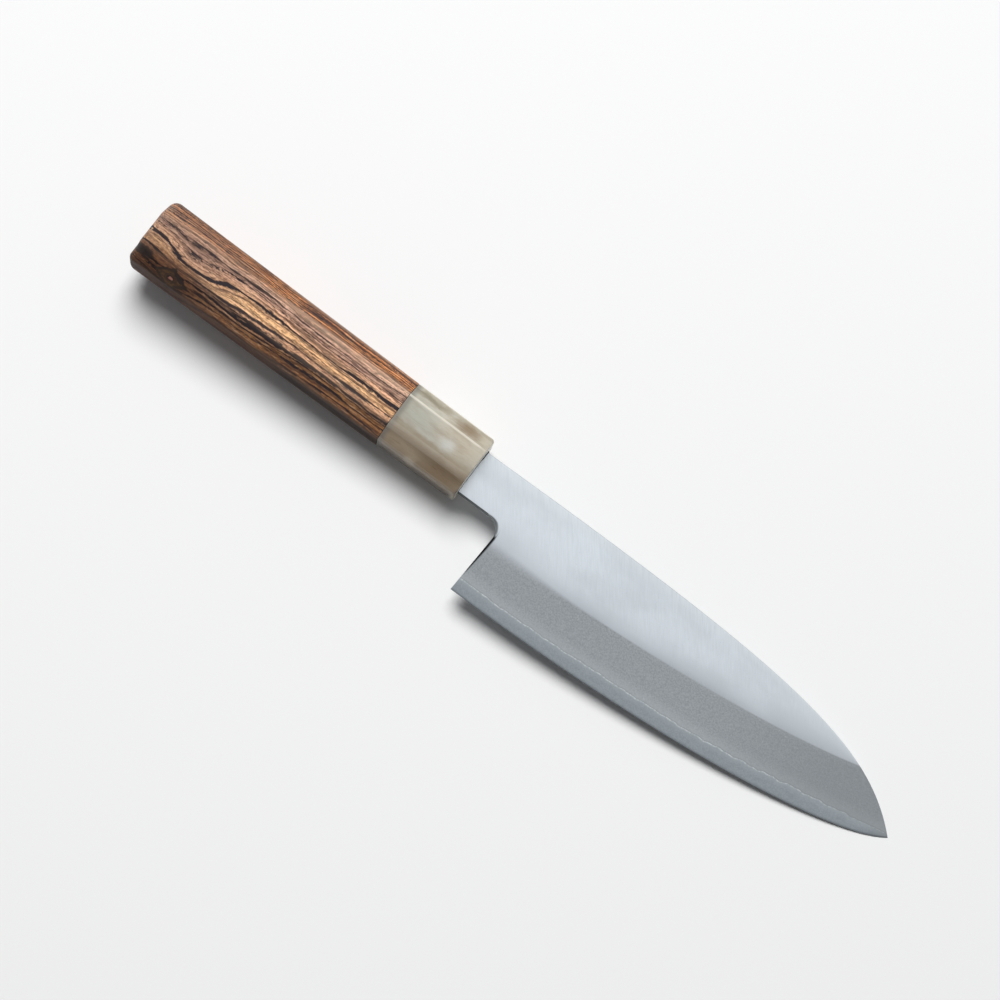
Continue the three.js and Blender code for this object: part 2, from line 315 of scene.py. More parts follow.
def grid_faces(rows, columns, start=0):
    """Four-sided faces between neighbouring rows and columns of a grid of points, numbered from start."""
    index = start + np.arange(rows * columns).reshape(rows, columns)
    corners = [index[:-1, :-1], index[:-1, 1:], index[1:, 1:], index[1:, :-1]]
    return np.stack(corners, -1).reshape(-1, 4)


def closed_piece(name, sheets, marks):
    """One closed mesh from grids of points that share their borders, with equal points merged. Marks are
    functions of the points, kept as attributes."""
    points = np.concatenate([sheet.reshape(-1, 3) for sheet in sheets])
    starts = np.cumsum([0] + [sheet.shape[0] * sheet.shape[1] for sheet in sheets])
    faces = [grid_faces(*sheet.shape[:2], start) for sheet, start in zip(sheets, starts)]
    mesh = bpy.data.meshes.new(name)
    mesh.from_pydata(to_world(points).tolist(), [], np.concatenate(faces).tolist())
    for mark, function in marks.items():
        values = function(points).astype(np.float32)
        mesh.attributes.new(mark, "FLOAT", "POINT").data.foreach_set("value", values)
    shell = bmesh.new()
    shell.from_mesh(mesh)
    bmesh.ops.remove_doubles(shell, verts=shell.verts, dist=MERGE_DISTANCE)
    bmesh.ops.dissolve_degenerate(shell, edges=shell.edges, dist=SLIVER)
    bmesh.ops.recalc_face_normals(shell, faces=shell.faces)
    shell.to_mesh(mesh)
    shell.free()
    mesh.shade_smooth()
    mesh.set_sharp_from_angle(angle=SHARP_ANGLE)
    made = bpy.data.objects.new(name, mesh)
    bpy.context.scene.collection.objects.link(made)
    return made


def core_side(side):
    """One side of the core: a hidden face under the cladding, and the strip that shows, which runs from the
    weld line (or the spine, in front of the cladding) down to the honed edge. Returns the faces and their
    borders."""
    weld = weld_points(side)
    heel_y = np.linspace(choil_foot[1], weld[0, 1], HEEL_ROWS)
    heel_plan = np.column_stack([heel_line(heel_y), heel_y])
    heel_plan[-1] = weld[0]
    foot = np.vstack([back_foot, heel_plan[1:], weld[1:]])
    top = np.vstack([back_head, np.tile(head[0], (HEEL_ROWS - 1, 1)), head[1:CLAD_COLUMNS]])
    behind_weld = np.arange(len(foot)) < len(foot) - len(weld) + 1
    foot_weld = np.where(behind_weld, weld_at(foot[:, 0], side), foot[:, 1])
    hidden = np.stack([
        lift(top, face_height(top[:, 0], weld_at(top[:, 0], side))),
        lift(foot, face_height(foot[:, 0], foot_weld)),
    ])
    strip_top = np.vstack([weld, head[CLAD_COLUMNS:]])
    low_y = edge_at(strip_top[:, 0])
    tall = strip_top[:, 1] - low_y
    honed = np.minimum(HONED_HEIGHT, tall / 2)
    share = np.linspace(0, 1, CORE_ROWS - 1)[:, None]
    y = np.vstack([strip_top[:, 1] - share * (tall - honed), low_y[None]])
    lean_here = np.concatenate([clad_lean, np.zeros(TIP_COLUMNS)])
    x = strip_top[:, 0] + (y - strip_top[:, 1]) * math.tan(lean) * lean_here
    z = face_height(x, y)
    z = HONED_EDGE / 2 + (z - HONED_EDGE / 2) * np.clip(tall / THIN_TIP_HEIGHT, 0, 1)
    z[-1] = HONED_EDGE / 2
    strip = np.stack([x, y, z], -1)
    borders = [
        np.vstack([hidden[0], strip[0, CLAD_COLUMNS:]]),
        hidden[1, :BACK + HEEL_ROWS - 1],
        strip[:, 0],
        strip[-1],
        hidden[:, 0],
    ]
    mirror = np.array([1, 1, side])
    return [hidden * mirror, strip * mirror], [border * mirror for border in borders]


right_faces, right_borders = core_side(1)
left_faces, left_borders = core_side(-1)
core_joins = [np.stack(pair) for pair in zip(right_borders, left_borders)]


def over_edge(points):
    """Distance above the edge line."""
    return points[:, 1] - edge_at(points[:, 0])


def over_weld_line(points):
    """Distance above the weld line of the side that the point is on."""
    right = points[:, 1] - weld_at(points[:, 0], 1)
    left = points[:, 1] - weld_at(points[:, 0], -1)
    return np.where(points[:, 2] > 0, right, left)


core = closed_piece("core_steel_blade", right_faces + left_faces + core_joins,
                    {"over_edge": over_edge, "over_weld": over_weld_line})


def node(tree, kind, sockets, **settings):
    """Adds a shader node, sets its properties, and links or sets its inputs."""
    made = tree.nodes.new("ShaderNode" + kind)
    for key, value in settings.items():
        setattr(made, key, value)
    for key, value in sockets.items():
        if isinstance(value, bpy.types.NodeSocket):
            tree.links.new(value, made.inputs[key])
        else:
            made.inputs[key].default_value = value
    return made


def math_node(tree, operation, first, *others):
    """Values joined one after another by an arithmetic operation, or one value put through it."""
    for other in others or (0.0,):
        first = node(tree, "Math", {0: first, 1: other}, operation=operation).outputs[0]
    return first


def split(tree, vector):
    """The three parts of a vector."""
    return node(tree, "SeparateXYZ", {0: vector}).outputs


def turned(tree, place, angle):
    """Places turned about z by an angle in radians."""
    return node(tree, "Mapping", {"Vector": place, "Rotation": (0, 0, angle)}).outputs[0]


def blend(tree, factor, low, high, blend_type="MIX"):
    """Colour mix from low at 0 to high at 1, or low multiplied by high."""
    low, high = (colour + (1,) if isinstance(colour, tuple) else colour for colour in (low, high))
    sockets = {0: factor, 6: low, 7: high}
    return node(tree, "Mix", sockets, data_type="RGBA", blend_type=blend_type).outputs[2]


def layered(tree, base, layers):
    """Colours laid over a base one after another, each through its mask times its share."""
    for mask, share, colour in layers:
        base = blend(tree, math_node(tree, "MULTIPLY", mask, share), base, colour)
    return base


def spread(tree, value, low, high, to_low=0.0, to_high=1.0):
    """Smooth step of a value from low..high to to_low..to_high."""
    sockets = {"Value": value, "From Min": low, "From Max": high, "To Min": to_low, "To Max": to_high}
    return node(tree, "MapRange", sockets, interpolation_type="SMOOTHSTEP").outputs[0]


def mark_value(tree, name):
    """A mesh attribute by name."""
    return node(tree, "Attribute", {}, attribute_name=name).outputs["Fac"]


def group_start(name, inputs, outputs):
    """A new node group with named sockets and their kinds: the group, its inputs and its outputs."""
    group = bpy.data.node_groups.new(name, "ShaderNodeTree")
    for in_out, sockets in (("INPUT", inputs), ("OUTPUT", outputs)):
        for socket, kind in sockets.items():
            group.interface.new_socket(name=socket, in_out=in_out, socket_type="NodeSocket" + kind)
    return group, group.nodes.new("NodeGroupInput").outputs, group.nodes.new("NodeGroupOutput").inputs


def placed_group(tree, group, sockets):
    """A node group placed in a tree with its own values: its outputs."""
    return node(tree, "Group", sockets, node_tree=group).outputs


# Millimetres in the knife's axes, worked back from the frame: every finish is drawn in them.
knife_axes, _, axes_out = group_start("knife_axes", {}, {"Millimetres": "Vector"})
back_turn = np.array([
    knife_place[0] * math.cos(tilt) - knife_place[2] * math.sin(tilt),
    knife_place[1],
    knife_place[0] * math.sin(tilt) + knife_place[2] * math.cos(tilt),
])
object_place = node(knife_axes, "TexCoord", {}).outputs["Object"]
turned_back = node(knife_axes, "Mapping", {
    "Vector": object_place, "Scale": (1000, 1000, 1000),
    "Rotation": (0, -tilt, 0), "Location": tuple(-back_turn),
}).outputs[0]
knife_axes.links.new(turned_back, axes_out["Millimetres"])

# Grain: noise with its own number of waves per millimetre along x, y and z.
grain_group, grain_in, grain_out = group_start(
    "grain", {"Millimetres": "Vector", "Waves": "Vector", "Detail": "Float", "Roughness": "Float"},
    {"Grain": "Float"})
stretched = node(grain_group, "Mapping", {"Vector": grain_in["Millimetres"], "Scale": grain_in["Waves"]})
grain_noise = node(grain_group, "TexNoise", {
    "Vector": stretched.outputs[0], "Scale": 1.0,
    "Detail": grain_in["Detail"], "Roughness": grain_in["Roughness"],
})
grain_group.links.new(grain_noise.outputs[0], grain_out["Grain"])


def grain(tree, place, waves, detail=3.0, roughness=0.5):
    """The grain group at places, with its values."""
    sockets = {"Millimetres": place, "Waves": waves, "Detail": detail, "Roughness": roughness}
    return placed_group(tree, grain_group, sockets)["Grain"]


def finish_start(name):
    """A new material with a Principled BSDF, and the knife's axes as a vector."""
    material = bpy.data.materials.new(name)
    material.use_nodes = True
    tree = material.node_tree
    tree.nodes.clear()
    shader = node(tree, "BsdfPrincipled", {})
    node(tree, "OutputMaterial", {"Surface": shader.outputs[0]})
    return material, tree, shader, placed_group(tree, knife_axes, {})["Millimetres"]


def finish_end(tree, shader, colour, roughness, relief, strength, depth):
    """Links a finish's colour and roughness, and its relief as a bump of the given strength and depth in
    metres."""
    bump = node(tree, "Bump", {"Height": relief, "Strength": strength, "Distance": depth})
    for socket, value in (("Base Color", colour), ("Roughness", roughness), ("Normal", bump.outputs[0])):
        tree.links.new(value, shader.inputs[socket])


# Grinding marks that the blade's steels share: fine lines across the blade, short crossing scratches,
# a fine speckle from the stone, and a few bright specks.
ground_marks, marks_in, marks_out = group_start("ground_marks", {"Millimetres": "Vector"}, {
    "Lines": "Float", "Scratches": "Float", "Speckle": "Float", "Specks": "Float"})
ground_place = marks_in["Millimetres"]
one_way, other_way, across_blade = (
    turned(ground_marks, ground_place, math.radians(angle)) for angle in (38, -47, -36.5))
one_way = spread(ground_marks, grain(ground_marks, one_way, (0.35, 3.0, 1.0), 2.0), 0.6, 0.74)
other_way = spread(ground_marks, grain(ground_marks, other_way, (0.3, 2.6, 1.0), 2.0), 0.62, 0.76)
stone_marks = {
    "Lines": grain(ground_marks, across_blade, (2.6, 0.16, 1.0), 4.0, 0.65),
    "Scratches": math_node(ground_marks, "MAXIMUM", one_way, other_way),
    "Speckle": grain(ground_marks, ground_place, (1.9, 1.9, 1.9), 3.0, 0.7),
    "Specks": spread(ground_marks, grain(ground_marks, ground_place, (1.3, 1.3, 1.3), 1.0), 0.7, 0.78),
}
for mark_name, mark in stone_marks.items():
    ground_marks.links.new(mark, marks_out[mark_name])

# Layers of a finish are a mask, a share and a colour. Here: scratches, the darker tip, the pale zone under
# the weld line, the broken bright weld line itself, and the honed edge.
core_finish, tree, shader, axes = finish_start("stone_polished_core")
stone = placed_group(tree, ground_marks, {"Millimetres": axes})
along_blade = split(tree, axes)[0]
above_weld = mark_value(tree, "over_weld")
under_weld = spread(tree, above_weld, 1.0, 0.3)
pale_zone = math_node(tree, "MULTIPLY", spread(tree, above_weld, -2.8, -0.3), under_weld)
weld_line = math_node(tree, "MULTIPLY", spread(tree, above_weld, -0.62, -0.08), under_weld)
broken = spread(tree, grain(tree, axes, (1.5, 1.5, 1.5), 3.0, 0.7), 0.4, 0.6, 0.15, 0.9)
weld_shine = math_node(tree, "SUBTRACT", broken, spread(tree, along_blade, 120.0, 183.0, 0.0, 0.6))
base = blend(tree, spread(tree, stone["Speckle"], 0.3, 0.7), (0.247, 0.274, 0.292), (0.306, 0.337, 0.359))
base = layered(tree, base, [
    (stone["Scratches"], 0.3, (0.401, 0.429, 0.451)),
    (spread(tree, along_blade, 172.0, 183.0), 0.7, (0.13, 0.138, 0.145)),
    (pale_zone, 0.42, (0.378, 0.404, 0.416)),
    (weld_line, weld_shine, (0.563, 0.591, 0.605)),
    (spread(tree, mark_value(tree, "over_edge"), 0.6, 0.3), 0.5, (0.13, 0.14, 0.151)),
])
rough = spread(tree, stone["Speckle"], 0.2, 0.8, 0.36, 0.5)
finish_end(tree, shader, base, rough, stone["Lines"], 0.12, 0.00002)
shader.inputs["Metallic"].default_value = 1.0

core.data.materials.append(core_finish)
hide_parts("core_steel")
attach(core, "root")


# Cladding: two layers of soft iron forge-welded to the core, one on each side.
# Each has a satin flat ground across, a long bevel with a hazy stone finish, and eased edges along the
# spine, the neck, the choil and the heel. It ends at the wavy weld line over the edge.
WELD_SEAM = 0.01
FACE_SHARE = np.concatenate([[0], np.linspace(0.012, 0.988, 10), [1]])
BLEND_ROWS = 9
BEVEL_ROWS = 11
ROW_GAP = 0.004
RIM_TURN_ROWS = 7
RIM_WALL_ROWS = 3
SPINE_RIM_START = 0.0
FOOT_RIM_START = math.radians(30)


def rim(outline, inward, ease, inner, foot_z, start):
    """An eased border: from inner points one easing radius inside the outline, part of a quarter turn out to
    the outline, then straight down to the layer below. The turn starts at the given angle from the face."""
    face_z = face_height(inner[:, 0], inner[:, 1])
    turn = np.linspace(start, math.pi / 2, RIM_TURN_ROWS)[:, None]
    inset = ease * (1 - np.sin(turn)) / (1 - math.sin(start))
    drop = ease * (math.cos(start) - np.cos(turn)) / math.cos(start)
    turned_rows = lift(outline + inward * inset[..., None], face_z - drop)
    share = np.linspace(0, 1, RIM_WALL_ROWS)[1:, None]
    wall_top = face_z - ease
    wall_plan = np.broadcast_to(outline, (RIM_WALL_ROWS - 1,) + outline.shape)
    return np.concatenate([turned_rows, lift(wall_plan, wall_top + share * (foot_z - wall_top))])


def cladding_side(side):
    """The cladding of one side as six grids: flat, bevel, spine rim, lower rim, inner face and end cap."""
    weld = weld_points(side)
    line, soft = shinogi_at(clad_x), shinogi_softness(clad_x)
    on_flat = np.arange(CLAD_COLUMNS) < FLAT_COLUMNS
    top_y = np.where(on_flat, line + soft, head_inner[:CLAD_COLUMNS, 1])
    top_y[0] = choil_inner_foot[1]

    blend_y = line + soft * np.linspace(1, -1, BLEND_ROWS)[:, None]
    bevel_y = blend_y[-1] + (weld[:, 1] - blend_y[-1]) * np.linspace(0, 1, BEVEL_ROWS)[1:, None]
    y = np.vstack([blend_y, bevel_y])
    gap = np.minimum(ROW_GAP, (top_y - weld[:, 1]) / (2 * len(y)))
    y = np.minimum(y, top_y - gap * np.arange(len(y))[:, None])
    y[-1] = weld[:, 1]
    x = leaning_x(y)
    bevel = np.stack([x, y, face_height(x, y)], -1)

    back_foot_inner = back_foot + back_foot_in * back_foot_ease[:, None]
    back_head_in = np.vstack([np.tile([0.0, -1.0], (len(tang_x), 1)), spine_inward(back_x[len(tang_x):])])
    back_head_ease = np.concatenate([np.zeros(len(tang_x)), spine_ease(back_x[len(tang_x):])])
    back_head_inner = back_head + back_head_in * back_head_ease[:, None]
    flat_head = np.vstack([back_head_inner[:-1], head_inner[:FLAT_COLUMNS]])
    flat_foot = np.vstack([back_foot_inner[:-1], bevel[0, :FLAT_COLUMNS, :2]])
    share = FACE_SHARE[:, None, None]
    flat_plan = flat_head + (flat_foot - flat_head) * share
    flat = lift(flat_plan, face_height(flat_plan[..., 0], flat_plan[..., 1]))

    def inner_z(plan, seam):
        """Height of the inner face: the core's hidden face plus the seam."""
        return face_height(plan[:, 0], weld_at(plan[:, 0], side)) + seam

    all_head = np.vstack([back_head[:-1], head[:CLAD_COLUMNS]])
    all_head_in = np.vstack([back_head_in[:-1], head_in[:CLAD_COLUMNS]])
    all_head_ease = np.concatenate([back_head_ease[:-1], head_ease[:CLAD_COLUMNS]])
    all_head_inner = np.vstack([back_head_inner[:-1], head_inner[:CLAD_COLUMNS]])
    head_z = inner_z(all_head, WELD_SEAM * np.clip(cladding_end - all_head[:, 0], 0, 1))
    spine_rim = rim(all_head, all_head_in, all_head_ease, all_head_inner, head_z, SPINE_RIM_START)

    heel_plan = bevel[1:, 0, :2]
    heel_radius = heel_ease(heel_plan[:, 1])
    heel_out = heel_plan - np.column_stack([heel_radius, np.zeros_like(heel_radius)])
    foot = np.vstack([back_foot, heel_out])
    foot_in = np.vstack([back_foot_in, np.tile([1.0, 0.0], (len(heel_out), 1))])
    foot_ease = np.concatenate([back_foot_ease, heel_radius])
    foot_inner = np.vstack([back_foot_inner, heel_plan])
    foot_z = inner_z(foot, WELD_SEAM * np.clip((foot[:, 1] - weld[0, 1]) / 2, 0, 1))
    foot_rim = rim(foot, foot_in, foot_ease, foot_inner, foot_z, FOOT_RIM_START)

    inner_head = lift(all_head, head_z)
    inner_head = np.vstack([
        inner_head[:BACK],
        np.tile(inner_head[BACK - 1], (len(heel_out), 1)),
        inner_head[BACK:],
    ])
    inner_foot = np.vstack([lift(foot, foot_z), bevel[-1, 1:]])
    inner = inner_head + (inner_foot - inner_head) * share
    cap_plan = back_head[0] + (back_foot[0] - back_head[0]) * FACE_SHARE[None, :, None]
    cap = lift(cap_plan + np.zeros((len(spine_rim), 1, 1)), spine_rim[:, 0, 2][:, None])
    mirror = np.array([1, 1, side])
    return [sheet * mirror for sheet in (flat, bevel, spine_rim, foot_rim, inner, cap)]


def bevel_mark(points):
    """0 on the flat and 1 on the bevel, with a border as wide as the shinogi is soft."""
    soft = np.maximum(1.15 * shinogi_softness(points[:, 0]), 0.3)
    return smooth(-soft, soft, shinogi_at(points[:, 0]) - points[:, 1])


def flat_mark(points):
    """0 along the spine and 1 along the shinogi, in proportion between them."""
    top = spine_at(points[:, 0])
    return (top - points[:, 1]) / np.maximum(top - shinogi_at(points[:, 0]), 0.5)


def shinogi_shade(points):
    """Share of light that the flat loses near the shinogi: it dies with the distance above that line, and is
    stronger and wider at the heel."""
    above = np.maximum(points[:, 1] - shinogi_at(points[:, 0]), 0)
    at_heel = smooth(48.0, 20.0, points[:, 0])
    return (0.37 + 0.09 * at_heel) * np.exp(-above / (4.5 + 2.2 * at_heel))


def painted_rim_shade(points):
    """How much painted shade and dark reflection darken the eased lower border, where it turns away from the
    light: full under the neck, about half round the choil, and full down the heel, fading out over the weld
    line.
    Each part is a smooth step of the distance from the outline."""
    x, y = points[:, 0], points[:, 1]
    choil_ease = np.interp(np.arctan2(y - choil_y, x - choil_x), *choil_eases)
    from_choil = np.hypot(x - choil_x, y - choil_y) - CHOIL_RADIUS
    to_heel = smooth(choil_foot[1] + 2.6, choil_foot[1] + 0.6, y)
    down_heel = to_heel * smooth(heel[1] + CORE_AT_HEEL, heel[1] + CORE_AT_HEEL + 5.0, y)
    on_neck = smooth(NECK_EASE + 0.22, NECK_EASE, y - neck_bottom) * ((x > 0) & (x < choil_x))
    on_choil = smooth(choil_ease + 0.1, choil_ease - 0.15, from_choil) * (x >= choil_x) * (1 - to_heel)
    on_heel = smooth(heel_ease(y) + 0.25, heel_ease(y) - 0.05, x - heel_line(y)) * down_heel
    return np.maximum(np.maximum(0.9 * on_neck, 0.62 * on_choil), on_heel)


def between(tree, factor, low, high):
    """A value mixed from low at 0 to high at 1."""
    return node(tree, "Mix", {0: factor, 2: low, 3: high}, data_type="FLOAT").outputs[0]


# The satin flat: a painted reflection that lightens its spine side, the painted shade along the shinogi,
# grinding lines, a painted dark reflection along the spine border and specks, then its tone along the blade.
# The haze of the bevel: scratches, specks, a pale zone and a dark line over the weld, and its darker end.
clad_finish, tree, shader, axes = finish_start("ground_cladding")
stone = placed_group(tree, ground_marks, {"Millimetres": axes})
along_blade = split(tree, axes)[0]
on_bevel = mark_value(tree, "bevel")
above_weld = mark_value(tree, "over_weld")
down_flat = mark_value(tree, "flat")
cloud = spread(tree, grain(tree, axes, (0.035, 0.08, 0.08)), 0.35, 0.65)
tip_light = math_node(tree, "MULTIPLY", spread(tree, along_blade, 112.0, 148.0),
                      spread(tree, down_flat, 0.7, 0.0))
satin = layered(tree, blend(tree, cloud, (0.559, 0.595, 0.623), (0.621, 0.658, 0.69)), [
    # Painted reflection: the flat is lighter near the spine.
    (spread(tree, down_flat, 0.16, 0.04), 0.7, (0.621, 0.658, 0.673)),
    (mark_value(tree, "shade"), 1.0, (0.012, 0.014, 0.023)),
    (spread(tree, stone["Lines"], 0.35, 0.7), 0.3, (0.464, 0.498, 0.53)),
    # Painted dark reflection along the spine's eased border.
    (spread(tree, down_flat, 0.016, 0.006), 0.3, (0.139, 0.149, 0.154)),
    (stone["Specks"], 0.25, (0.383, 0.409, 0.435)),
    (spread(tree, along_blade, 110.0, 165.0), 0.3, (0.464, 0.493, 0.515)),
    (spread(tree, along_blade, 60.0, 20.0), 0.14, (0.768, 0.807, 0.836)),
    (tip_light, 0.2, (0.74, 0.78, 0.79)),
])
haze = blend(tree, spread(tree, stone["Speckle"], 0.28, 0.72), (0.268, 0.285, 0.296), (0.387, 0.409, 0.42))
haze = layered(tree, haze, [
    (stone["Scratches"], 0.3, (0.458, 0.475, 0.485)),
    (stone["Specks"], 0.25, (0.635, 0.655, 0.665)),
    (spread(tree, above_weld, 5.0, 0.4), 0.3, (0.493, 0.514, 0.523)),
    (spread(tree, above_weld, 0.55, 0.05), 0.35, (0.224, 0.234, 0.243)),
    (spread(tree, along_blade, 100.0, 170.0), 0.4, (0.211, 0.226, 0.234)),
])
# The eased lower border gets painted shade and dark reflection from the rim mark.
steel = layered(tree, satin, [(on_bevel, 1.0, haze), (mark_value(tree, "rim"), 1.0, (0.012, 0.013, 0.014))])
satin_rough = spread(tree, stone["Lines"], 0.25, 0.75, 0.3, 0.42)
haze_rough = spread(tree, stone["Speckle"], 0.25, 0.75, 0.46, 0.6)
finish_end(tree, shader, steel, between(tree, on_bevel, satin_rough, haze_rough),
           between(tree, on_bevel, stone["Lines"], stone["Speckle"]), 0.1, 0.00003)
shader.inputs["Metallic"].default_value = 1.0

clad_marks = {"bevel": bevel_mark, "flat": flat_mark, "shade": shinogi_shade, "rim": painted_rim_shade,
              "over_weld": over_weld_line}
for clad_name, clad_side in (("right_cladding", 1), ("left_cladding", -1)):
    cladding = closed_piece(clad_name + "_blade", cladding_side(clad_side), clad_marks)
    cladding.data.materials.append(clad_finish)
    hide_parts(clad_name)
    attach(cladding, "root")


# Dowel: a round peg of plain pale wood inside the ferrule and the handle, sawn open for the tang.
# The solid's own shape is right and nothing of it shows outside, so it keeps it and gets its wood.
dowel_finish, tree, shader, axes = finish_start("dowel_wood_grain")
fibre = grain(tree, axes, (0.08, 1.6, 1.6), 4.0, 0.6)
base = blend(tree, fibre, (0.50, 0.34, 0.19), (0.78, 0.62, 0.41))
finish_end(tree, shader, base, spread(tree, fibre, 0.2, 0.8, 0.55, 0.75), fibre, 0.2, 0.0001)
for slot in bpy.data.objects["dowel"].material_slots:
    slot.material = dowel_finish


# Ferrule: the collar of blonde horn that the neck goes into, cut eight-sided with the handle and polished.
# Its front edge is rounded, its front face has the slot for the neck, and dark resin seals the slot.
FERRULE_LENGTH = 31.7
FRONT_HEIGHT = 23.1
FRONT_THICKNESS = 20.4
BUTT_X = -135.3
BUTT_HEIGHT = 25.2
BUTT_THICKNESS = 22.4
CORNER_HEIGHT = 5.8
CORNER_THICKNESS = 5.0
FERRULE_EASE = 0.3
FERRULE_EASE_SPINE = 1.3
FERRULE_BACK_EASE = 0.12
ferrule_facet_ease = np.array([0.4, 0.32, 1.5, 1.1, 1.1, 1.5, 0.32, 0.4])
SLOT_HALF_HEIGHT = 8.7
SLOT_HALF_THICKNESS = 1.8
SLOT_DEPTH = 4.6
MOUTH_EASE = 0.3
BORE_RADIUS = 6.3
BORE_START = -8.0
FRONT_START = -3.0
FRONT_RINGS = 4
BODY_END = -4.0
FERRULE_RINGS = 27
EASE_RINGS = 10
CORNER_STEPS = 6
facet_steps = np.array([0.05, 0.15, 0.3, 0.43, 0.57, 0.7, 0.85, 0.95])
# Wear and sheen of each ring point: 1 round the corners, falling off on the facets. The finishes turn it into
# lighter edges, partly wear and partly a painted highlight.
facet_wear_and_sheen = np.array([0.45, 0.12, 0, 0, 0, 0, 0.12, 0.45])
RING_POINTS = 8 * (CORNER_STEPS + len(facet_steps))
ring_wear_and_sheen = np.tile(np.concatenate([np.ones(CORNER_STEPS), facet_wear_and_sheen]), 8)


def eight_sided(x, inset, ease):
    """Rings of the handle's section at places x: a rectangle that grows towards the butt with its corners
    cut, all sides moved in by the inset, and each corner rounded by a parabola that starts at its easing
    length."""
    x, inset = np.broadcast_arrays(np.asarray(x, float), np.asarray(inset, float))
    half_y = np.interp(x, [BUTT_X, 0], [BUTT_HEIGHT / 2, FRONT_HEIGHT / 2]) - inset
    half_z = np.interp(x, [BUTT_X, 0], [BUTT_THICKNESS / 2, FRONT_THICKNESS / 2]) - inset
    slant = math.hypot(CORNER_HEIGHT, CORNER_THICKNESS)
    low_y = half_y - CORNER_HEIGHT + inset - inset * (slant - CORNER_HEIGHT) / CORNER_THICKNESS
    low_z = half_z - CORNER_THICKNESS + inset - inset * (slant - CORNER_THICKNESS) / CORNER_HEIGHT
    y = np.stack([half_y, low_y, -low_y, -half_y, -half_y, -low_y, low_y, half_y], -1)
    z = np.stack([low_z, half_z, half_z, low_z, -low_z, -half_z, -half_z, -low_z], -1)
    corner = np.stack([y, z], -1)
    to_next = np.roll(corner, -1, 1) - corner
    length = np.linalg.norm(to_next, axis=-1, keepdims=True)
    along = to_next / length
    cut = np.minimum(ease[:, None], 0.3 * np.minimum(length, np.roll(length, 1, 1)))
    start = corner - cut * np.roll(along, 1, 1)
    end = corner + cut * along
    t = np.linspace(0, 1, CORNER_STEPS)[:, None]
    turn = (1 - t) ** 2 * start[:, :, None] + 2 * t * (1 - t) * corner[:, :, None] + t ** 2 * end[:, :, None]
    s = facet_steps[:, None]
    facet = end[:, :, None] * (1 - s) + np.roll(start, -1, 1)[:, :, None] * s
    plan = np.concatenate([turn, facet], 2).reshape(len(x), RING_POINTS, 2)
    return np.concatenate([np.broadcast_to(x[:, None, None], (len(x), RING_POINTS, 1)), plan], -1)


def round_rings(like, x, radius):
    """Round rings at places x, with the points of the given ring moved straight towards the axis."""
    angle = np.arctan2(like[:, 2], like[:, 1])
    rings = np.empty((len(x), len(like), 3))
    rings[..., 0] = np.asarray(x)[:, None]
    rings[..., 1] = radius * np.cos(angle)
    rings[..., 2] = radius * np.sin(angle)
    return rings


def slot_rings(like, x, out):
    """Rings round the slot's mouth at places x, moved out from its walls, on rays through the given ring."""
    angle = np.arctan2(like[:, 2], like[:, 1] - NECK_OFFSET)
    half_y = SLOT_HALF_HEIGHT + np.asarray(out)[:, None]
    half_z = SLOT_HALF_THICKNESS + np.asarray(out)[:, None]
    reach = 1 / np.maximum(np.abs(np.cos(angle)) / half_y, np.abs(np.sin(angle)) / half_z)
    y = NECK_OFFSET + reach * np.cos(angle)
    return np.stack([np.broadcast_to(np.asarray(x)[:, None], y.shape), y, reach * np.sin(angle)], -1)


def closed_round(rings):
    """Repeats each ring's first point at its end, so that the grid closes on itself."""
    return np.concatenate([rings, rings[:, :1]], 1)


def ring_mark(values):
    """A mark with one value per ring point, kept in the order of the grid's points."""
    grid = closed_round(values).ravel()
    return lambda points: grid


ease_turn = np.linspace(0, math.pi / 2, EASE_RINGS)


def front_rings(radius):
    """Rings of the ferrule's front part: the last millimetres of its length, then a quarter turn of the given
    radius onto the front face."""
    straight = np.linspace(FRONT_START, -radius - 0.1, FRONT_RINGS)
    x = np.concatenate([straight, -radius + radius * np.sin(ease_turn)])
    inset = np.concatenate([np.zeros(FRONT_RINGS), radius * (1 - np.cos(ease_turn))])
    return eight_sided(x, inset, ferrule_facet_ease)


# The front edge is worn rounder on the spine's side and the left side, and a little on the edge's side.
crisp_front = front_rings(FERRULE_EASE)
front_y, front_z = crisp_front[:1, :, 1:2], crisp_front[:1, :, 2:]
to_wide = np.maximum(smooth(9.4, 11.4, front_y), smooth(-6.0, -9.0, front_z))
to_wide = np.maximum(to_wide, 0.6 * smooth(-9.0, -11.0, front_y))
ferrule_front = crisp_front + (front_rings(FERRULE_EASE_SPINE) - crisp_front) * to_wide
back_edge_x = [-FERRULE_LENGTH, -FERRULE_LENGTH + 0.04, -FERRULE_LENGTH + FERRULE_BACK_EASE]
ferrule_back = eight_sided(
    np.concatenate([back_edge_x, np.linspace(-FERRULE_LENGTH + 1, BODY_END, FERRULE_RINGS)]),
    np.concatenate([[FERRULE_BACK_EASE, 0.04, 0], np.zeros(FERRULE_RINGS)]), ferrule_facet_ease)
ferrule_outside = np.concatenate([ferrule_back, ferrule_front])
front_ring = ferrule_outside[-1]
mouth = slot_rings(front_ring, [0.0], [MOUTH_EASE])[0]
face_share = np.array([0.2, 0.4, 0.6, 0.8, 0.96, 1.0])[:, None, None]
ferrule_face = front_ring + (mouth - front_ring) * face_share

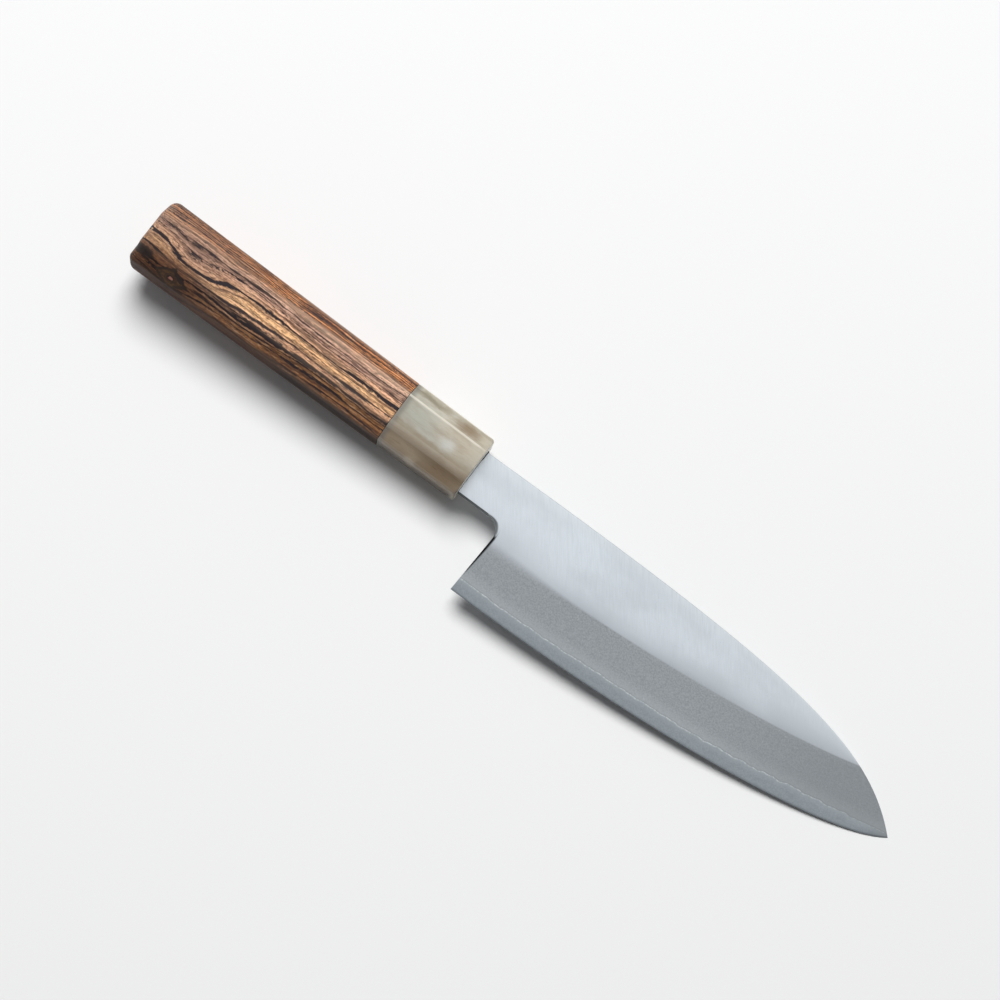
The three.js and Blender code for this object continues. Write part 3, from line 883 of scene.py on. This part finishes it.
# The resin seal is four rings: their places along x, how far they stand out from the slot's walls, and how
# far they swell forwards at the spine's end.
seal_x = [0.04, 0.09, 0.12, -0.4]
seal_out = [0.25, 0.08, -0.27, -0.28]
seal_swell = np.array([0.06, 0.25, 0.45, 0.0])
seal = slot_rings(front_ring, seal_x, seal_out)
seal[..., 0] += smooth(3.4, 7.2, seal[..., 1]) * seal_swell[:, None]
ferrule_inside = np.concatenate([
    slot_rings(front_ring, [-0.6, -SLOT_DEPTH], [0.0, 0.0]),
    round_rings(front_ring, [BORE_START, -20.0, -FERRULE_LENGTH], BORE_RADIUS),
])
ferrule_rings = np.concatenate([ferrule_outside, ferrule_face, seal, ferrule_inside, ferrule_outside[:1]])

seal_first = len(ferrule_outside) + len(ferrule_face) - 1
seal_values = np.zeros(ferrule_rings.shape[:2])
seal_values[seal_first:seal_first + len(seal) + 2] = 1
ferrule_wear_and_sheen = np.zeros(ferrule_rings.shape[:2])
ferrule_wear_and_sheen[:len(ferrule_outside)] = ring_wear_and_sheen
ferrule = closed_piece("ferrule_horn", [closed_round(ferrule_rings)],
                       {"seal": ring_mark(seal_values), "wear_and_sheen": ring_mark(ferrule_wear_and_sheen)})


def vector_node(tree, operation, first, second=(0, 0, 0)):
    """One step of vector arithmetic: a vector, or the value of a dot product or a length."""
    made = node(tree, "VectorMath", {0: first, 1: second}, operation=operation)
    return made.outputs["Value" if operation in ("DOT_PRODUCT", "LENGTH") else "Vector"]


# Place on the handle as a flat vector: x along it, and the height across it in a direction that leans to
# the right side. Noise moves the place about within a reach, so that clouds and knots wander.
ACROSS = (0.0, 0.982, 0.19)
warped, warped_in, warped_out = group_start(
    "warped_place", {"Millimetres": "Vector", "Scale": "Float", "Roughness": "Float", "Reach": "Vector"},
    {"Place": "Vector"})
plain_height = vector_node(warped, "DOT_PRODUCT", warped_in["Millimetres"], ACROSS)
plain_x = split(warped, warped_in["Millimetres"])[0]
plain_place = node(warped, "CombineXYZ", {0: plain_x, 1: plain_height}).outputs[0]
wander = node(warped, "TexNoise", {
    "Vector": warped_in["Millimetres"], "Scale": warped_in["Scale"],
    "Detail": 3.0, "Roughness": warped_in["Roughness"],
}).outputs["Color"]
wander = node(warped, "Mapping", {"Vector": wander, "Location": (-1, -1, -1), "Scale": (2, 2, 2)}).outputs[0]
wander = vector_node(warped, "MULTIPLY", wander, warped_in["Reach"])
warped.links.new(vector_node(warped, "ADD", plain_place, wander), warped_out["Place"])

# Soft spot: a patch that is 1 inside an ellipse and 0 outside, with a wide border.
spot_group, spot_in, spot_out = group_start(
    "soft_spot", {"Place": "Vector", "Centre": "Vector", "Radii": "Vector", "Border": "Float"},
    {"Mask": "Float"})
from_centre = vector_node(spot_group, "SUBTRACT", spot_in["Place"], spot_in["Centre"])
from_centre = vector_node(spot_group, "DIVIDE", from_centre, spot_in["Radii"])
from_centre = vector_node(spot_group, "LENGTH", from_centre)
outside = math_node(spot_group, "ADD", spot_in["Border"], 1.0)
inside = math_node(spot_group, "SUBTRACT", 1.0, spot_in["Border"])
spot_group.links.new(spread(spot_group, from_centre, outside, inside), spot_out["Mask"])

# Edge wear and sheen: the mesh's wear and sheen mark, narrowed to the edges by a power, times a share. It
# lightens edges, partly as wear and partly as a painted highlight.
wear_and_sheen_group, wear_and_sheen_in, wear_and_sheen_out = group_start(
    "edge_wear_and_sheen", {"Wear_and_sheen": "Float", "Narrowing": "Float", "Share": "Float"}, {"Mask": "Float"})
narrowed = math_node(wear_and_sheen_group, "POWER", wear_and_sheen_in["Wear_and_sheen"], wear_and_sheen_in["Narrowing"])
wear_and_sheen_group.links.new(math_node(wear_and_sheen_group, "MULTIPLY", narrowed, wear_and_sheen_in["Share"]), wear_and_sheen_out["Mask"])


def edge_wear_and_sheen(tree, narrowing, share):
    """The edge wear and sheen group on the mesh's mark, with its values: lighter edges, partly wear and
    partly a painted highlight.
    """
    sockets = {"Wear_and_sheen": mark_value(tree, "wear_and_sheen"), "Narrowing": narrowing, "Share": share}
    return placed_group(tree, wear_and_sheen_group, sockets)["Mask"]


def soft_spot(tree, place, centre, radii, border):
    """The soft spot group at places, with its values."""
    sockets = {"Place": place, "Centre": centre + (0,), "Radii": radii + (1,), "Border": border}
    return placed_group(tree, spot_group, sockets)["Mask"]


def ramp(tree, value, low, high, stops, interpolation="LINEAR"):
    """Colours by a value from low to high: a colour ramp with its stops' places and colours."""
    across = node(tree, "MapRange", {"Value": value, "From Min": low, "From Max": high}).outputs[0]
    made = node(tree, "ValToRGB", {0: across})
    made.color_ramp.interpolation = interpolation
    while len(made.color_ramp.elements) < len(stops):
        made.color_ramp.elements.new(0.5)
    for element, (place, colour) in zip(made.color_ramp.elements, stops):
        element.position = (place - low) / (high - low)
        element.color = colour + (1,)
    return made.outputs[0]


# Bands are a height and a colour, from the edge side to the spine side. Clouds are a centre, two radii, a
# share and a colour. Over them: brown drifts, pale fibres, the shade at the back, edge wear with a painted
# highlight along the spine's side, painted light on the front face, which lies in shade, and the resin seal.
TINT_LOW = -14.0
TINT_HIGH = 14.0
CLOUD_BORDER = 0.75
horn_bands = [
    (-11.8, (0.10, 0.085, 0.07)), (-10.4, (0.26, 0.20, 0.14)), (-7.5, (0.35, 0.27, 0.185)),
    (-4.0, (0.25, 0.2, 0.143)), (-1.0, (0.29, 0.25, 0.188)), (1.5, (0.40, 0.38, 0.32)),
    (7.0, (0.515, 0.492, 0.415)), (9.0, (0.49, 0.46, 0.38)), (12.0, (0.44, 0.405, 0.32)),
]
horn_clouds = [
    ((-8.0, 4.5), (8.0, 4.2), 0.6, (0.49, 0.42, 0.32)),
    ((-26.0, 4.0), (7.0, 4.5), 0.7, (0.38, 0.385, 0.325)),
    ((-11.3, 1.7), (2.6, 2.2), 0.55, (0.58, 0.60, 0.58)),
    ((-21.0, 0.1), (7.0, 0.8), 0.6, (0.47, 0.47, 0.42)),
    ((-7.5, -5.9), (8.5, 2.1), 0.88, (0.165, 0.108, 0.056)),
    ((-21.0, -4.6), (9.0, 1.4), 0.5, (0.22, 0.16, 0.10)),
    ((-9.0, -9.0), (7.0, 1.9), 0.75, (0.22, 0.15, 0.085)),
    ((-19.0, -10.0), (1.9, 1.3), 0.7, (0.46, 0.40, 0.31)),
    ((-9.0, 10.0), (4.6, 1.7), 0.85, (0.21, 0.145, 0.075)),
    ((-25.5, 10.6), (6.5, 0.9), 0.8, (0.2, 0.17, 0.11)),
    ((-28.0, 9.0), (2.6, 0.7), 0.6, (0.45, 0.44, 0.37)),
    ((-16.0, 11.2), (1.6, 0.8), 0.6, (0.48, 0.47, 0.41)),
    ((-3.0, 9.8), (1.7, 1.8), 0.6, (0.47, 0.41, 0.31)),
    ((-0.6, -11.6), (1.6, 1.0), 0.7, (0.48, 0.46, 0.36)),
]
horn, tree, shader, axes = finish_start("blonde_horn")
along_horn = split(tree, axes)[0]
across_horn = vector_node(tree, "DOT_PRODUCT", axes, ACROSS)
horn_place = placed_group(tree, warped, {
    "Millimetres": axes, "Scale": 0.22, "Roughness": 0.6, "Reach": (2.2, 1.3, 0)})["Place"]
drift = grain(tree, axes, (0.12, 0.35, 0.35), 3.0, 0.6)
fibre = grain(tree, axes, (0.08, 1.2, 1.2), 4.0, 0.6)
# Mostly a painted highlight along the spine-side edges, fading near the front, with a little wear on the
# other edges.
horn_edge_wear_and_highlight = math_node(tree, "MULTIPLY", spread(tree, across_horn, 5.0, 7.0, 0.1, 0.55),
                         spread(tree, along_horn, -1.0, -3.5, 0.35, 1.0))
base = ramp(tree, split(tree, horn_place)[1], TINT_LOW, TINT_HIGH, horn_bands)
base = layered(tree, base, [
    (soft_spot(tree, horn_place, centre, radii, CLOUD_BORDER), share, tint)
    for centre, radii, share, tint in horn_clouds])
base = layered(tree, base, [
    (spread(tree, drift, 0.58, 0.36), 0.3, (0.23, 0.165, 0.10)),
    (spread(tree, fibre, 0.5, 0.75), 0.06, (0.52, 0.49, 0.42)),
    (spread(tree, along_horn, -29.0, -31.2), 0.75, (0.16, 0.15, 0.13)),
    (edge_wear_and_sheen(tree, 5.0, horn_edge_wear_and_highlight), 1.0, (0.82, 0.78, 0.68)),
    # Painted light: the front face lies in shade and is lightened here.
    (spread(tree, along_horn, -0.12, -0.02), 0.85, (0.86, 0.79, 0.66)),
    (mark_value(tree, "seal"), 1.0, (0.012, 0.011, 0.011)),
])
finish_end(tree, shader, base, spread(tree, fibre, 0.2, 0.8, 0.24, 0.36), fibre, 0.06, 0.00005)
shader.inputs["Subsurface Weight"].default_value = 0.12
shader.inputs["Subsurface Radius"].default_value = (1.0, 0.75, 0.5)
shader.inputs["Subsurface Scale"].default_value = 0.0012
ferrule.data.materials.append(horn)
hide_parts("ferrule")
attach(ferrule, "root")


# Handle: one piece of striped hardwood, cut eight-sided, a little thicker towards the butt, oiled.
# It is bored for the dowel and glued against the ferrule; the butt's edges are rounded and its end domed.
GLUE_LINE = 0.1
HANDLE_FRONT_EASE = 0.15
BUTT_DOME = 0.7
BUTT_DOME_EDGE = 0.2
BUTT_EASE_SPINE = 3.3
BUTT_EASE_EDGE = 2.2
# Painted sheen on the butt's rounded edge: its wear and sheen mark is raised to this.
BUTT_SHEEN = 0.6
HANDLE_BORE_END = -93.8
BODY_RINGS = 120
BUTT_RINGS = 12
DOME_RINGS = 9
handle_facet_ease = np.array([0.5, 0.45, 0.8, 0.9, 0.9, 0.8, 0.45, 0.5])

handle_front = -FERRULE_LENGTH - GLUE_LINE
butt_turn = np.linspace(0, math.pi / 2, BUTT_RINGS)


def butt_rings(radius, dome):
    """Rings round the butt's edge: a quarter turn of the given radius from the facets to the domed end."""
    return eight_sided(BUTT_X + dome + radius * (1 - np.sin(butt_turn)),
                       radius * (1 - np.cos(butt_turn)), handle_facet_ease)


body_x = np.linspace(handle_front - 0.8, BUTT_X + BUTT_DOME + BUTT_EASE_SPINE + 0.3, BODY_RINGS)
handle_body = eight_sided(
    np.concatenate([[handle_front, handle_front - 0.05, handle_front - HANDLE_FRONT_EASE], body_x]),
    np.concatenate([[HANDLE_FRONT_EASE, 0.05, 0], np.zeros(BODY_RINGS)]), handle_facet_ease)
spine_butt = butt_rings(BUTT_EASE_SPINE, BUTT_DOME)
edge_butt = butt_rings(BUTT_EASE_EDGE, BUTT_DOME_EDGE)
to_edge_side = smooth(9.0, -9.0, edge_butt[:1, :, 1:2]) * smooth(9.0, 4.0, np.abs(edge_butt[:1, :, 2:]))
butt_edge = spine_butt + (edge_butt - spine_butt) * to_edge_side
dome_share = np.linspace(1, 0, DOME_RINGS)[1:, None, None]
dome = butt_edge[-1] * np.array([0, 1, 1]) * dome_share
dome[..., 0] = BUTT_X + (butt_edge[-1, :, 0] - BUTT_X) * dome_share[..., 0] ** 2
bore = round_rings(handle_body[0], [HANDLE_BORE_END, HANDLE_BORE_END, -60.0, handle_front], BORE_RADIUS)
bore[0, :, 1:] = 0
handle_rings = np.concatenate([bore, handle_body, butt_edge, dome])
handle_wear_and_sheen = np.zeros(handle_rings.shape[:2])
handle_wear_and_sheen[len(bore):-len(dome)] = ring_wear_and_sheen
handle_wear_and_sheen[len(bore) + len(handle_body):-len(dome)] = np.maximum(ring_wear_and_sheen, BUTT_SHEEN)

# The growth rings lie nearly square to the right side. Their depth is the distance across them; it drifts
# towards the butt, waves along the grain and bends where a branch grew out of the lower corner.
KNOT_X = -118.7
KNOT_DEPTH = -8.4


def bell(value, middle, reach_below, reach_above):
    """A bell curve exp(-t^2) round the middle, with its own reach on each side."""
    away = value - middle
    return np.exp(-(away / np.where(away < 0, reach_below, reach_above)) ** 2)


def ring_depth(points):
    """Distance across the growth rings: a slanted plane, plus a drift along the handle that spreads the
    rings, two slow waves, and two lopsided bells that bend the rings above and below the knot."""
    x = points[:, 0]
    plain = ACROSS[1] * points[:, 1] + ACROSS[2] * points[:, 2]
    along = smooth(-45.0, -105.0, x)
    spread_out = np.where(plain < 0, 2.0 * (1 - np.exp(np.minimum(plain, 0) / 4)),
                          -0.6 * (1 - np.exp(-np.maximum(plain, 0) / 4)))
    wave = 0.2 * np.sin(x / 10.5 + 0.3 * plain) + 0.12 * np.sin(x / 4.4 + 1.7 + 0.55 * plain)
    above = 2.9 * bell(x, -116.0, 8.5, 13.0) * bell(plain, -1.0, 2.6, 5.2)
    below = 2.4 * bell(x, KNOT_X, 17.0, 10.0) * bell(plain, -10.8, 4.0, 3.4)
    return plain + along * spread_out + wave + above + below


handle = closed_piece("handle_wood", [closed_round(handle_rings)],
                      {"ring_depth": ring_depth, "wear_and_sheen": ring_mark(handle_wear_and_sheen)})

# Dark lines of the growth rings: depth, half width and darkness of each, from the edge side to the spine. A
# colour ramp holds only some of them. Tints of the wood between them go by depth too; the two lowest tints,
# on the facet of the edge's side, are painted shade.
RINGS_PER_RAMP = 9
RAMP_MARGIN = 1.5
dark_rings = [
    (-13.1, 0.6, 0.7), (-11.6, 0.6, 0.75), (-9.15, 0.55, 0.85), (-7.05, 0.5, 0.8), (-5.6, 0.42, 0.7),
    (-4.5, 0.8, 1.0), (-3.3, 0.25, 0.35), (-2.2, 0.6, 0.85), (-0.9, 0.3, 0.42), (0.4, 0.2, 0.32),
    (1.45, 0.75, 1.0), (2.95, 0.25, 0.3), (4.15, 0.42, 0.6), (4.95, 0.25, 0.3), (5.8, 0.4, 0.65),
    (6.6, 0.2, 0.3), (7.4, 0.3, 0.45), (8.35, 0.24, 0.65), (9.2, 0.27, 0.95), (9.8, 0.2, 0.65),
    (10.4, 0.27, 0.95), (11.0, 0.2, 0.7), (11.5, 0.25, 0.95), (12.0, 0.2, 0.7), (12.45, 0.25, 0.95),
    (13.1, 0.28, 0.9),
]
band_tints = [
    (-13.0, (0.085, 0.06, 0.052)), (-11.4, (0.15, 0.085, 0.06)), (-9.8, (0.345, 0.155, 0.068)),
    (-6.0, (0.365, 0.188, 0.083)), (-3.3, (0.68, 0.40, 0.25)), (-0.3, (0.80, 0.50, 0.27)),
    (3.0, (0.74, 0.45, 0.30)), (5.0, (0.44, 0.28, 0.22)), (7.0, (0.70, 0.45, 0.33)),
    (8.6, (0.63, 0.285, 0.118)), (12.0, (0.56, 0.22, 0.074)),
]


def weighted_sum(tree, first, *terms):
    """A value, plus others times their weights."""
    for value, weight in terms:
        first = node(tree, "Math", {0: value, 1: weight, 2: first}, operation="MULTIPLY_ADD").outputs[0]
    return first


wood, tree, shader, axes = finish_start("striped_hardwood_oiled")
along_grain, across_y, across_z = split(tree, axes)
fleck = grain(tree, turned(tree, axes, 0.3), (0.6, 1.6, 1.6), 3.0, 0.65)
fibre = grain(tree, axes, (0.14, 3.0, 3.0), 4.0, 0.65)
streak = grain(tree, axes, (0.06, 1.6, 1.6), 4.0, 0.7)
dashes = grain(tree, axes, (1.0, 3.3, 3.3), 2.0, 0.6)
pores = spread(tree, grain(tree, axes, (0.35, 3.2, 3.2), 2.0), 0.53, 0.63)
pale_flecks = spread(tree, grain(tree, axes, (0.16, 2.0, 2.0), 3.0, 0.6), 0.54, 0.68)
ragged = spread(tree, grain(tree, axes, (0.05, 0.55, 0.55), 3.0, 0.6), 0.25, 0.75, -0.45, 0.45)
plain_depth = mark_value(tree, "ring_depth")
line_depth = weighted_sum(tree, plain_depth, (ragged, spread(tree, plain_depth, 7.5, 9.0, 1.0, 0.4)))
depth = math_node(tree, "ADD", line_depth, spread(tree, fleck, 0.25, 0.75, -0.13, 0.13))

ramps = []
for first in range(0, len(dark_rings), RINGS_PER_RAMP):
    rings = dark_rings[first:first + RINGS_PER_RAMP]
    low, high = rings[0][0] - RAMP_MARGIN, rings[-1][0] + RAMP_MARGIN
    stops = sorted((place + side * half, (dark * (1 - abs(side)),) * 3)
                   for place, half, dark in rings for side in (-1, 0, 1))
    ramps.append(ramp(tree, depth, low, high, stops, "EASE"))
stripes = math_node(tree, "MAXIMUM", *ramps)

# Wood between the dark lines: tints with a mottle, pale flecks, thin lines and hairlines along the rings,
# and a darker butt. Lines on the spine's side are weaker.
drawn_out = math_node(tree, "MULTIPLY", along_grain, 0.022)
line_place = node(tree, "CombineXYZ", {0: drawn_out, 1: line_depth}).outputs[0]
thin_lines = spread(tree, grain(tree, line_place, (1.0, 1.15, 1.0), 1.0), 0.53, 0.62)
hairlines = spread(tree, grain(tree, line_place, (1.6, 2.3, 1.0), 1.0), 0.53, 0.6)
mottle = weighted_sum(tree, math_node(tree, "MULTIPLY", streak, 0.5), (fleck, 0.15), (dashes, 0.45))
mottle = blend(tree, spread(tree, mottle, 0.45, 0.65), (0.55, 0.47, 0.45), (1.4, 1.36, 1.28))
light_wood = blend(tree, 1.0, ramp(tree, depth, TINT_LOW, TINT_HIGH, band_tints), mottle, "MULTIPLY")
light_wood = layered(tree, light_wood, [
    (pale_flecks, 0.5, (0.86, 0.6, 0.4)),
    (thin_lines, 0.72, (0.075, 0.04, 0.033)),
    (hairlines, spread(tree, depth, 7.0, 8.5, 0.6, 0.9), (0.085, 0.042, 0.03)),
    (spread(tree, along_grain, -88.0, -112.0), 0.46, (0.26, 0.155, 0.112)),
])
on_spine = math_node(tree, "MULTIPLY", spread(tree, across_y, 8.5, 10.5), spread(tree, across_z, 5.0, 1.0))
strength = spread(tree, grain(tree, line_place, (2.0, 0.5, 1.0), 2.0), 0.35, 0.6, 0.8, 1.25)
strength = weighted_sum(tree, strength, (on_spine, -0.5))
uneven = math_node(tree, "ADD", spread(tree, fibre, 0.25, 0.75, -0.26, 0.26),
                   spread(tree, fleck, 0.25, 0.75, -0.12, 0.12))

# The knot: a lozenge of olive wood with dark flanks, the upper one towards the front thickest, fine rings
# inside and a red heart, in darker wood. A dark blotch lies between it and the butt, the dark lines fade
# just above the knot, and a dark streak lies under the right facet. The low side gets painted shade, darker
# from the middle of the handle forwards, and is duller.
KNOT_HALF_LENGTH = 6.4
KNOT_HALF_HEIGHT = 3.6
knot_place = placed_group(tree, warped, {
    "Millimetres": axes, "Scale": 0.6, "Roughness": 0.5, "Reach": (1.1, 0.8, 0)})["Place"]
over_knot = soft_spot(tree, knot_place, (-122.0, -5.4), (9.5, 1.4), 0.5)
under_border = soft_spot(tree, knot_place, (-81.0, -5.0), (20.0, 0.8), 0.55)
round_knot = soft_spot(tree, knot_place, (-125.0, -7.2), (20.0, 5.4), 0.55)
blotch = soft_spot(tree, knot_place, (-131.6, -6.1), (4.0, 1.8), 0.3)
dark_share = weighted_sum(tree, uneven, (stripes, strength), (over_knot, -0.7), (under_border, 0.6))
# Painted shade on the low side, which faces the floor; the same mask makes it duller.
low_side_shade = math_node(tree, "MULTIPLY", spread(tree, split(tree, knot_place)[1], -9.0, -11.2),
                     spread(tree, along_grain, -118.0, -85.0, 0.7, 0.85))
low_side_shade_tint = blend(tree, spread(tree, along_grain, -84.0, -66.0), (0.066, 0.033, 0.024), (0.022, 0.017, 0.015))
base = layered(tree, light_wood, [
    (spread(tree, dark_share, 0.18, 0.66), 1.0, (0.026, 0.021, 0.025)),
    (low_side_shade, 1.0, low_side_shade_tint),
])
base = blend(tree, round_knot, base, (0.4, 0.32, 0.28), "MULTIPLY")

from_knot = vector_node(tree, "SUBTRACT", knot_place, (KNOT_X, KNOT_DEPTH, 0))
to_front, to_spine, _ = split(tree, from_knot)
lozenge = math_node(tree, "MULTIPLY", math_node(tree, "ABSOLUTE", to_front), 1 / KNOT_HALF_LENGTH)
lozenge = weighted_sum(tree, lozenge, (math_node(tree, "ABSOLUTE", to_spine), 1 / KNOT_HALF_HEIGHT))
knot_ring = vector_node(tree, "LENGTH", vector_node(tree, "MULTIPLY", from_knot, (0.55, 1.0, 0)))
thick_flank = math_node(tree, "MULTIPLY", spread(tree, to_front, -1.5, 1.0),
                        spread(tree, to_spine, -0.4, 0.8))
from_flank = math_node(tree, "SUBTRACT", lozenge, between(tree, thick_flank, 0.76, 0.52))
flank = math_node(tree, "MULTIPLY", spread(tree, from_flank, -0.08, 0.08), spread(tree, lozenge, 1.14, 0.98),
                  spread(tree, thick_flank, 0.0, 1.0, 0.85, 1.0))
fine_rings = spread(tree, math_node(tree, "SINE", math_node(tree, "MULTIPLY", knot_ring, 6.5)), 0.1, 0.9)
fine_rings = math_node(tree, "MULTIPLY", fine_rings, spread(tree, lozenge, 0.95, 0.6), 0.6)
knot_dark = math_node(tree, "MAXIMUM", flank, fine_rings, spread(tree, knot_ring, 1.15, 0.7), blotch)
knot_side = spread(tree, across_z, 1.0, 3.0)
# Lighter edges, partly wear and mostly a painted highlight, stronger on the spine's side and towards the
# front.
wood_edge_wear_and_highlight = math_node(tree, "MULTIPLY", spread(tree, across_y, 0.0, 5.0, 0.1, 0.42),
                       spread(tree, along_grain, -95.0, -75.0, 0.3, 1.0))
base = layered(tree, base, [
    (math_node(tree, "MULTIPLY", spread(tree, lozenge, 1.08, 0.9), knot_side), 0.8, (0.085, 0.048, 0.025)),
    (math_node(tree, "MULTIPLY", knot_dark, knot_side), 0.92, (0.022, 0.017, 0.016)),
    (spread(tree, knot_ring, 0.62, 0.4), knot_side, (0.33, 0.15, 0.11)),
    (pores, 0.6, (0.04, 0.022, 0.018)),
    (edge_wear_and_sheen(tree, 1.0, wood_edge_wear_and_highlight), 1.0, (0.62, 0.44, 0.32)),
])
rough = weighted_sum(tree, spread(tree, fibre, 0.2, 0.8, 0.36, 0.5), (low_side_shade, 0.3))
relief = weighted_sum(tree, math_node(tree, "MULTIPLY", fibre, 0.5), (pores, -1.0))
finish_end(tree, shader, base, rough, relief, 0.3, 0.00008)
shader.inputs["Specular IOR Level"].default_value = 0.14
handle.data.materials.append(wood)
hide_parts("handle")
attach(handle, "root")


# Studio: a plain pale floor, soft light from above on the spine's side, and the camera.
# The camera looks down from the edge's side and a little from the tip's, through a long lens.
VIEW_TO_TIP = math.radians(2.5)
VIEW_TO_EDGE = math.radians(11.0)
VIEW_TURN = math.radians(36.5)
VIEW_DISTANCE = 1200.0
VIEW_REACH = 20.0
MILLIMETRES_PER_PIXEL = 0.3332
IMAGE_PIXELS = 1000
SENSOR = 36.0
view_aim = np.array([12.762, -2.645, -0.016])
FLOOR_HALF = 4.0
FLOOR_POINTS = 9
KEY_LEAN = math.radians(28)
KEY_DISTANCE = 2.6
KEY_SIZE = 1.7
KEY_POWER = 75.0

floor_side = np.linspace(-FLOOR_HALF, FLOOR_HALF, FLOOR_POINTS)
floor_x, floor_y = np.meshgrid(floor_side, floor_side)
floor_points = np.stack([floor_x, floor_y, np.zeros_like(floor_x)], -1).reshape(-1, 3)
floor_mesh = bpy.data.meshes.new("floor")
floor_mesh.from_pydata(floor_points.tolist(), [], grid_faces(FLOOR_POINTS, FLOOR_POINTS).tolist())
floor = bpy.data.objects.new("floor", floor_mesh)
bpy.context.scene.collection.objects.link(floor)
floor_finish = bpy.data.materials.new("pale_floor")
floor_finish.use_nodes = True
floor_shader = floor_finish.node_tree.nodes["Principled BSDF"]
floor_shader.inputs["Base Color"].default_value = (0.86, 0.86, 0.86, 1)
floor_shader.inputs["Roughness"].default_value = 0.7
floor_shader.inputs["Specular IOR Level"].default_value = 0.1
floor_mesh.materials.append(floor_finish)


def unit(vector):
    """A vector brought to length 1."""
    return vector / np.linalg.norm(vector)


def turn_to_world(direction):
    """A direction in the knife's axes, turned into the frame."""
    return (to_world(direction) - to_world(np.zeros(3))) * 1000


def placed_object(name, data, columns, place):
    """A new object with the given axes, as columns, at a place."""
    matrix = np.eye(4)
    matrix[:3, :3] = columns
    matrix[:3, 3] = place
    made = bpy.data.objects.new(name, data)
    bpy.context.scene.collection.objects.link(made)
    made.matrix_world = matrix.T.tolist()
    return made


toward = unit(np.array([math.tan(VIEW_TO_TIP), -math.tan(VIEW_TO_EDGE), 1.0]))
plain_right = unit(np.array([1.0, 0, 0]) - toward[0] * toward)
plain_up = np.cross(toward, plain_right)
image_right = math.cos(VIEW_TURN) * plain_right + math.sin(VIEW_TURN) * plain_up
image_up = math.cos(VIEW_TURN) * plain_up - math.sin(VIEW_TURN) * plain_right
camera_axes = np.column_stack([turn_to_world(image_right), turn_to_world(image_up), turn_to_world(toward)])
camera_data = bpy.data.cameras.new("camera")
camera_data.sensor_width = SENSOR
camera_data.lens = SENSOR * VIEW_DISTANCE / (MILLIMETRES_PER_PIXEL * IMAGE_PIXELS)
camera_data.clip_end = VIEW_REACH
camera = placed_object("camera", camera_data, camera_axes, to_world(view_aim + VIEW_DISTANCE * toward))
bpy.context.scene.camera = camera

light_up = np.array([0, 0, 1.0])
light_side = unit(camera_axes[:, 1] - camera_axes[2, 1] * light_up)
key_direction = math.cos(KEY_LEAN) * light_up + math.sin(KEY_LEAN) * light_side
key_data = bpy.data.lights.new("key", "AREA")
key_data.shape = "DISK"
key_data.size = KEY_SIZE
key_data.energy = KEY_POWER
key_right = unit(np.cross(light_side, key_direction))
key_axes = np.column_stack([key_right, np.cross(key_direction, key_right), key_direction])
key = placed_object("key", key_data, key_axes, KEY_DISTANCE * key_direction)
key.visible_glossy = False

# The room's brightness, from the edge's side over the zenith to the spine's side: it shows in the gloss of
# steel, horn and wood. It falls off towards the floor and to both ends. The room's own light is weak and only
# lifts the shadows.
ROOM_FILL = 0.16
BRIGHTEST = 1.6
room_steps = [(-1.0, 0.75), (-0.5, 0.7), (-0.2, 0.7), (0.0, 0.88), (0.15, 1.25), (0.3, 1.5), (0.6, 1.6),
              (0.9, 1.2), (1.0, 0.9)]
world = bpy.data.worlds.new("studio")
bpy.context.scene.world = world
world.use_nodes = True
tree = world.node_tree
way = node(tree, "TexCoord", {}).outputs["Generated"]
side_on = vector_node(tree, "DOT_PRODUCT", way, tuple(light_side))
to_right = vector_node(tree, "DOT_PRODUCT", way, tuple(np.cross(light_side, light_up)))
room = ramp(tree, side_on, -1.0, 1.0, [(place, (bright / BRIGHTEST,) * 3) for place, bright in room_steps])
room = math_node(tree, "MULTIPLY", room,
                 spread(tree, split(tree, way)[2], -0.1, 0.6, 0.55 * BRIGHTEST, BRIGHTEST),
                 spread(tree, to_right, -0.8, -0.35, 0.75, 1.0), spread(tree, to_right, 0.8, 0.45, 0.8, 1.0))
seen_in_gloss = node(tree, "LightPath", {}).outputs["Is Glossy Ray"]
background = tree.nodes["Background"]
background.inputs["Color"].default_value = (0.96, 0.98, 1.0, 1)
tree.links.new(between(tree, seen_in_gloss, ROOM_FILL, room), background.inputs["Strength"])
bpy.context.scene.view_settings.view_transform = "Standard"
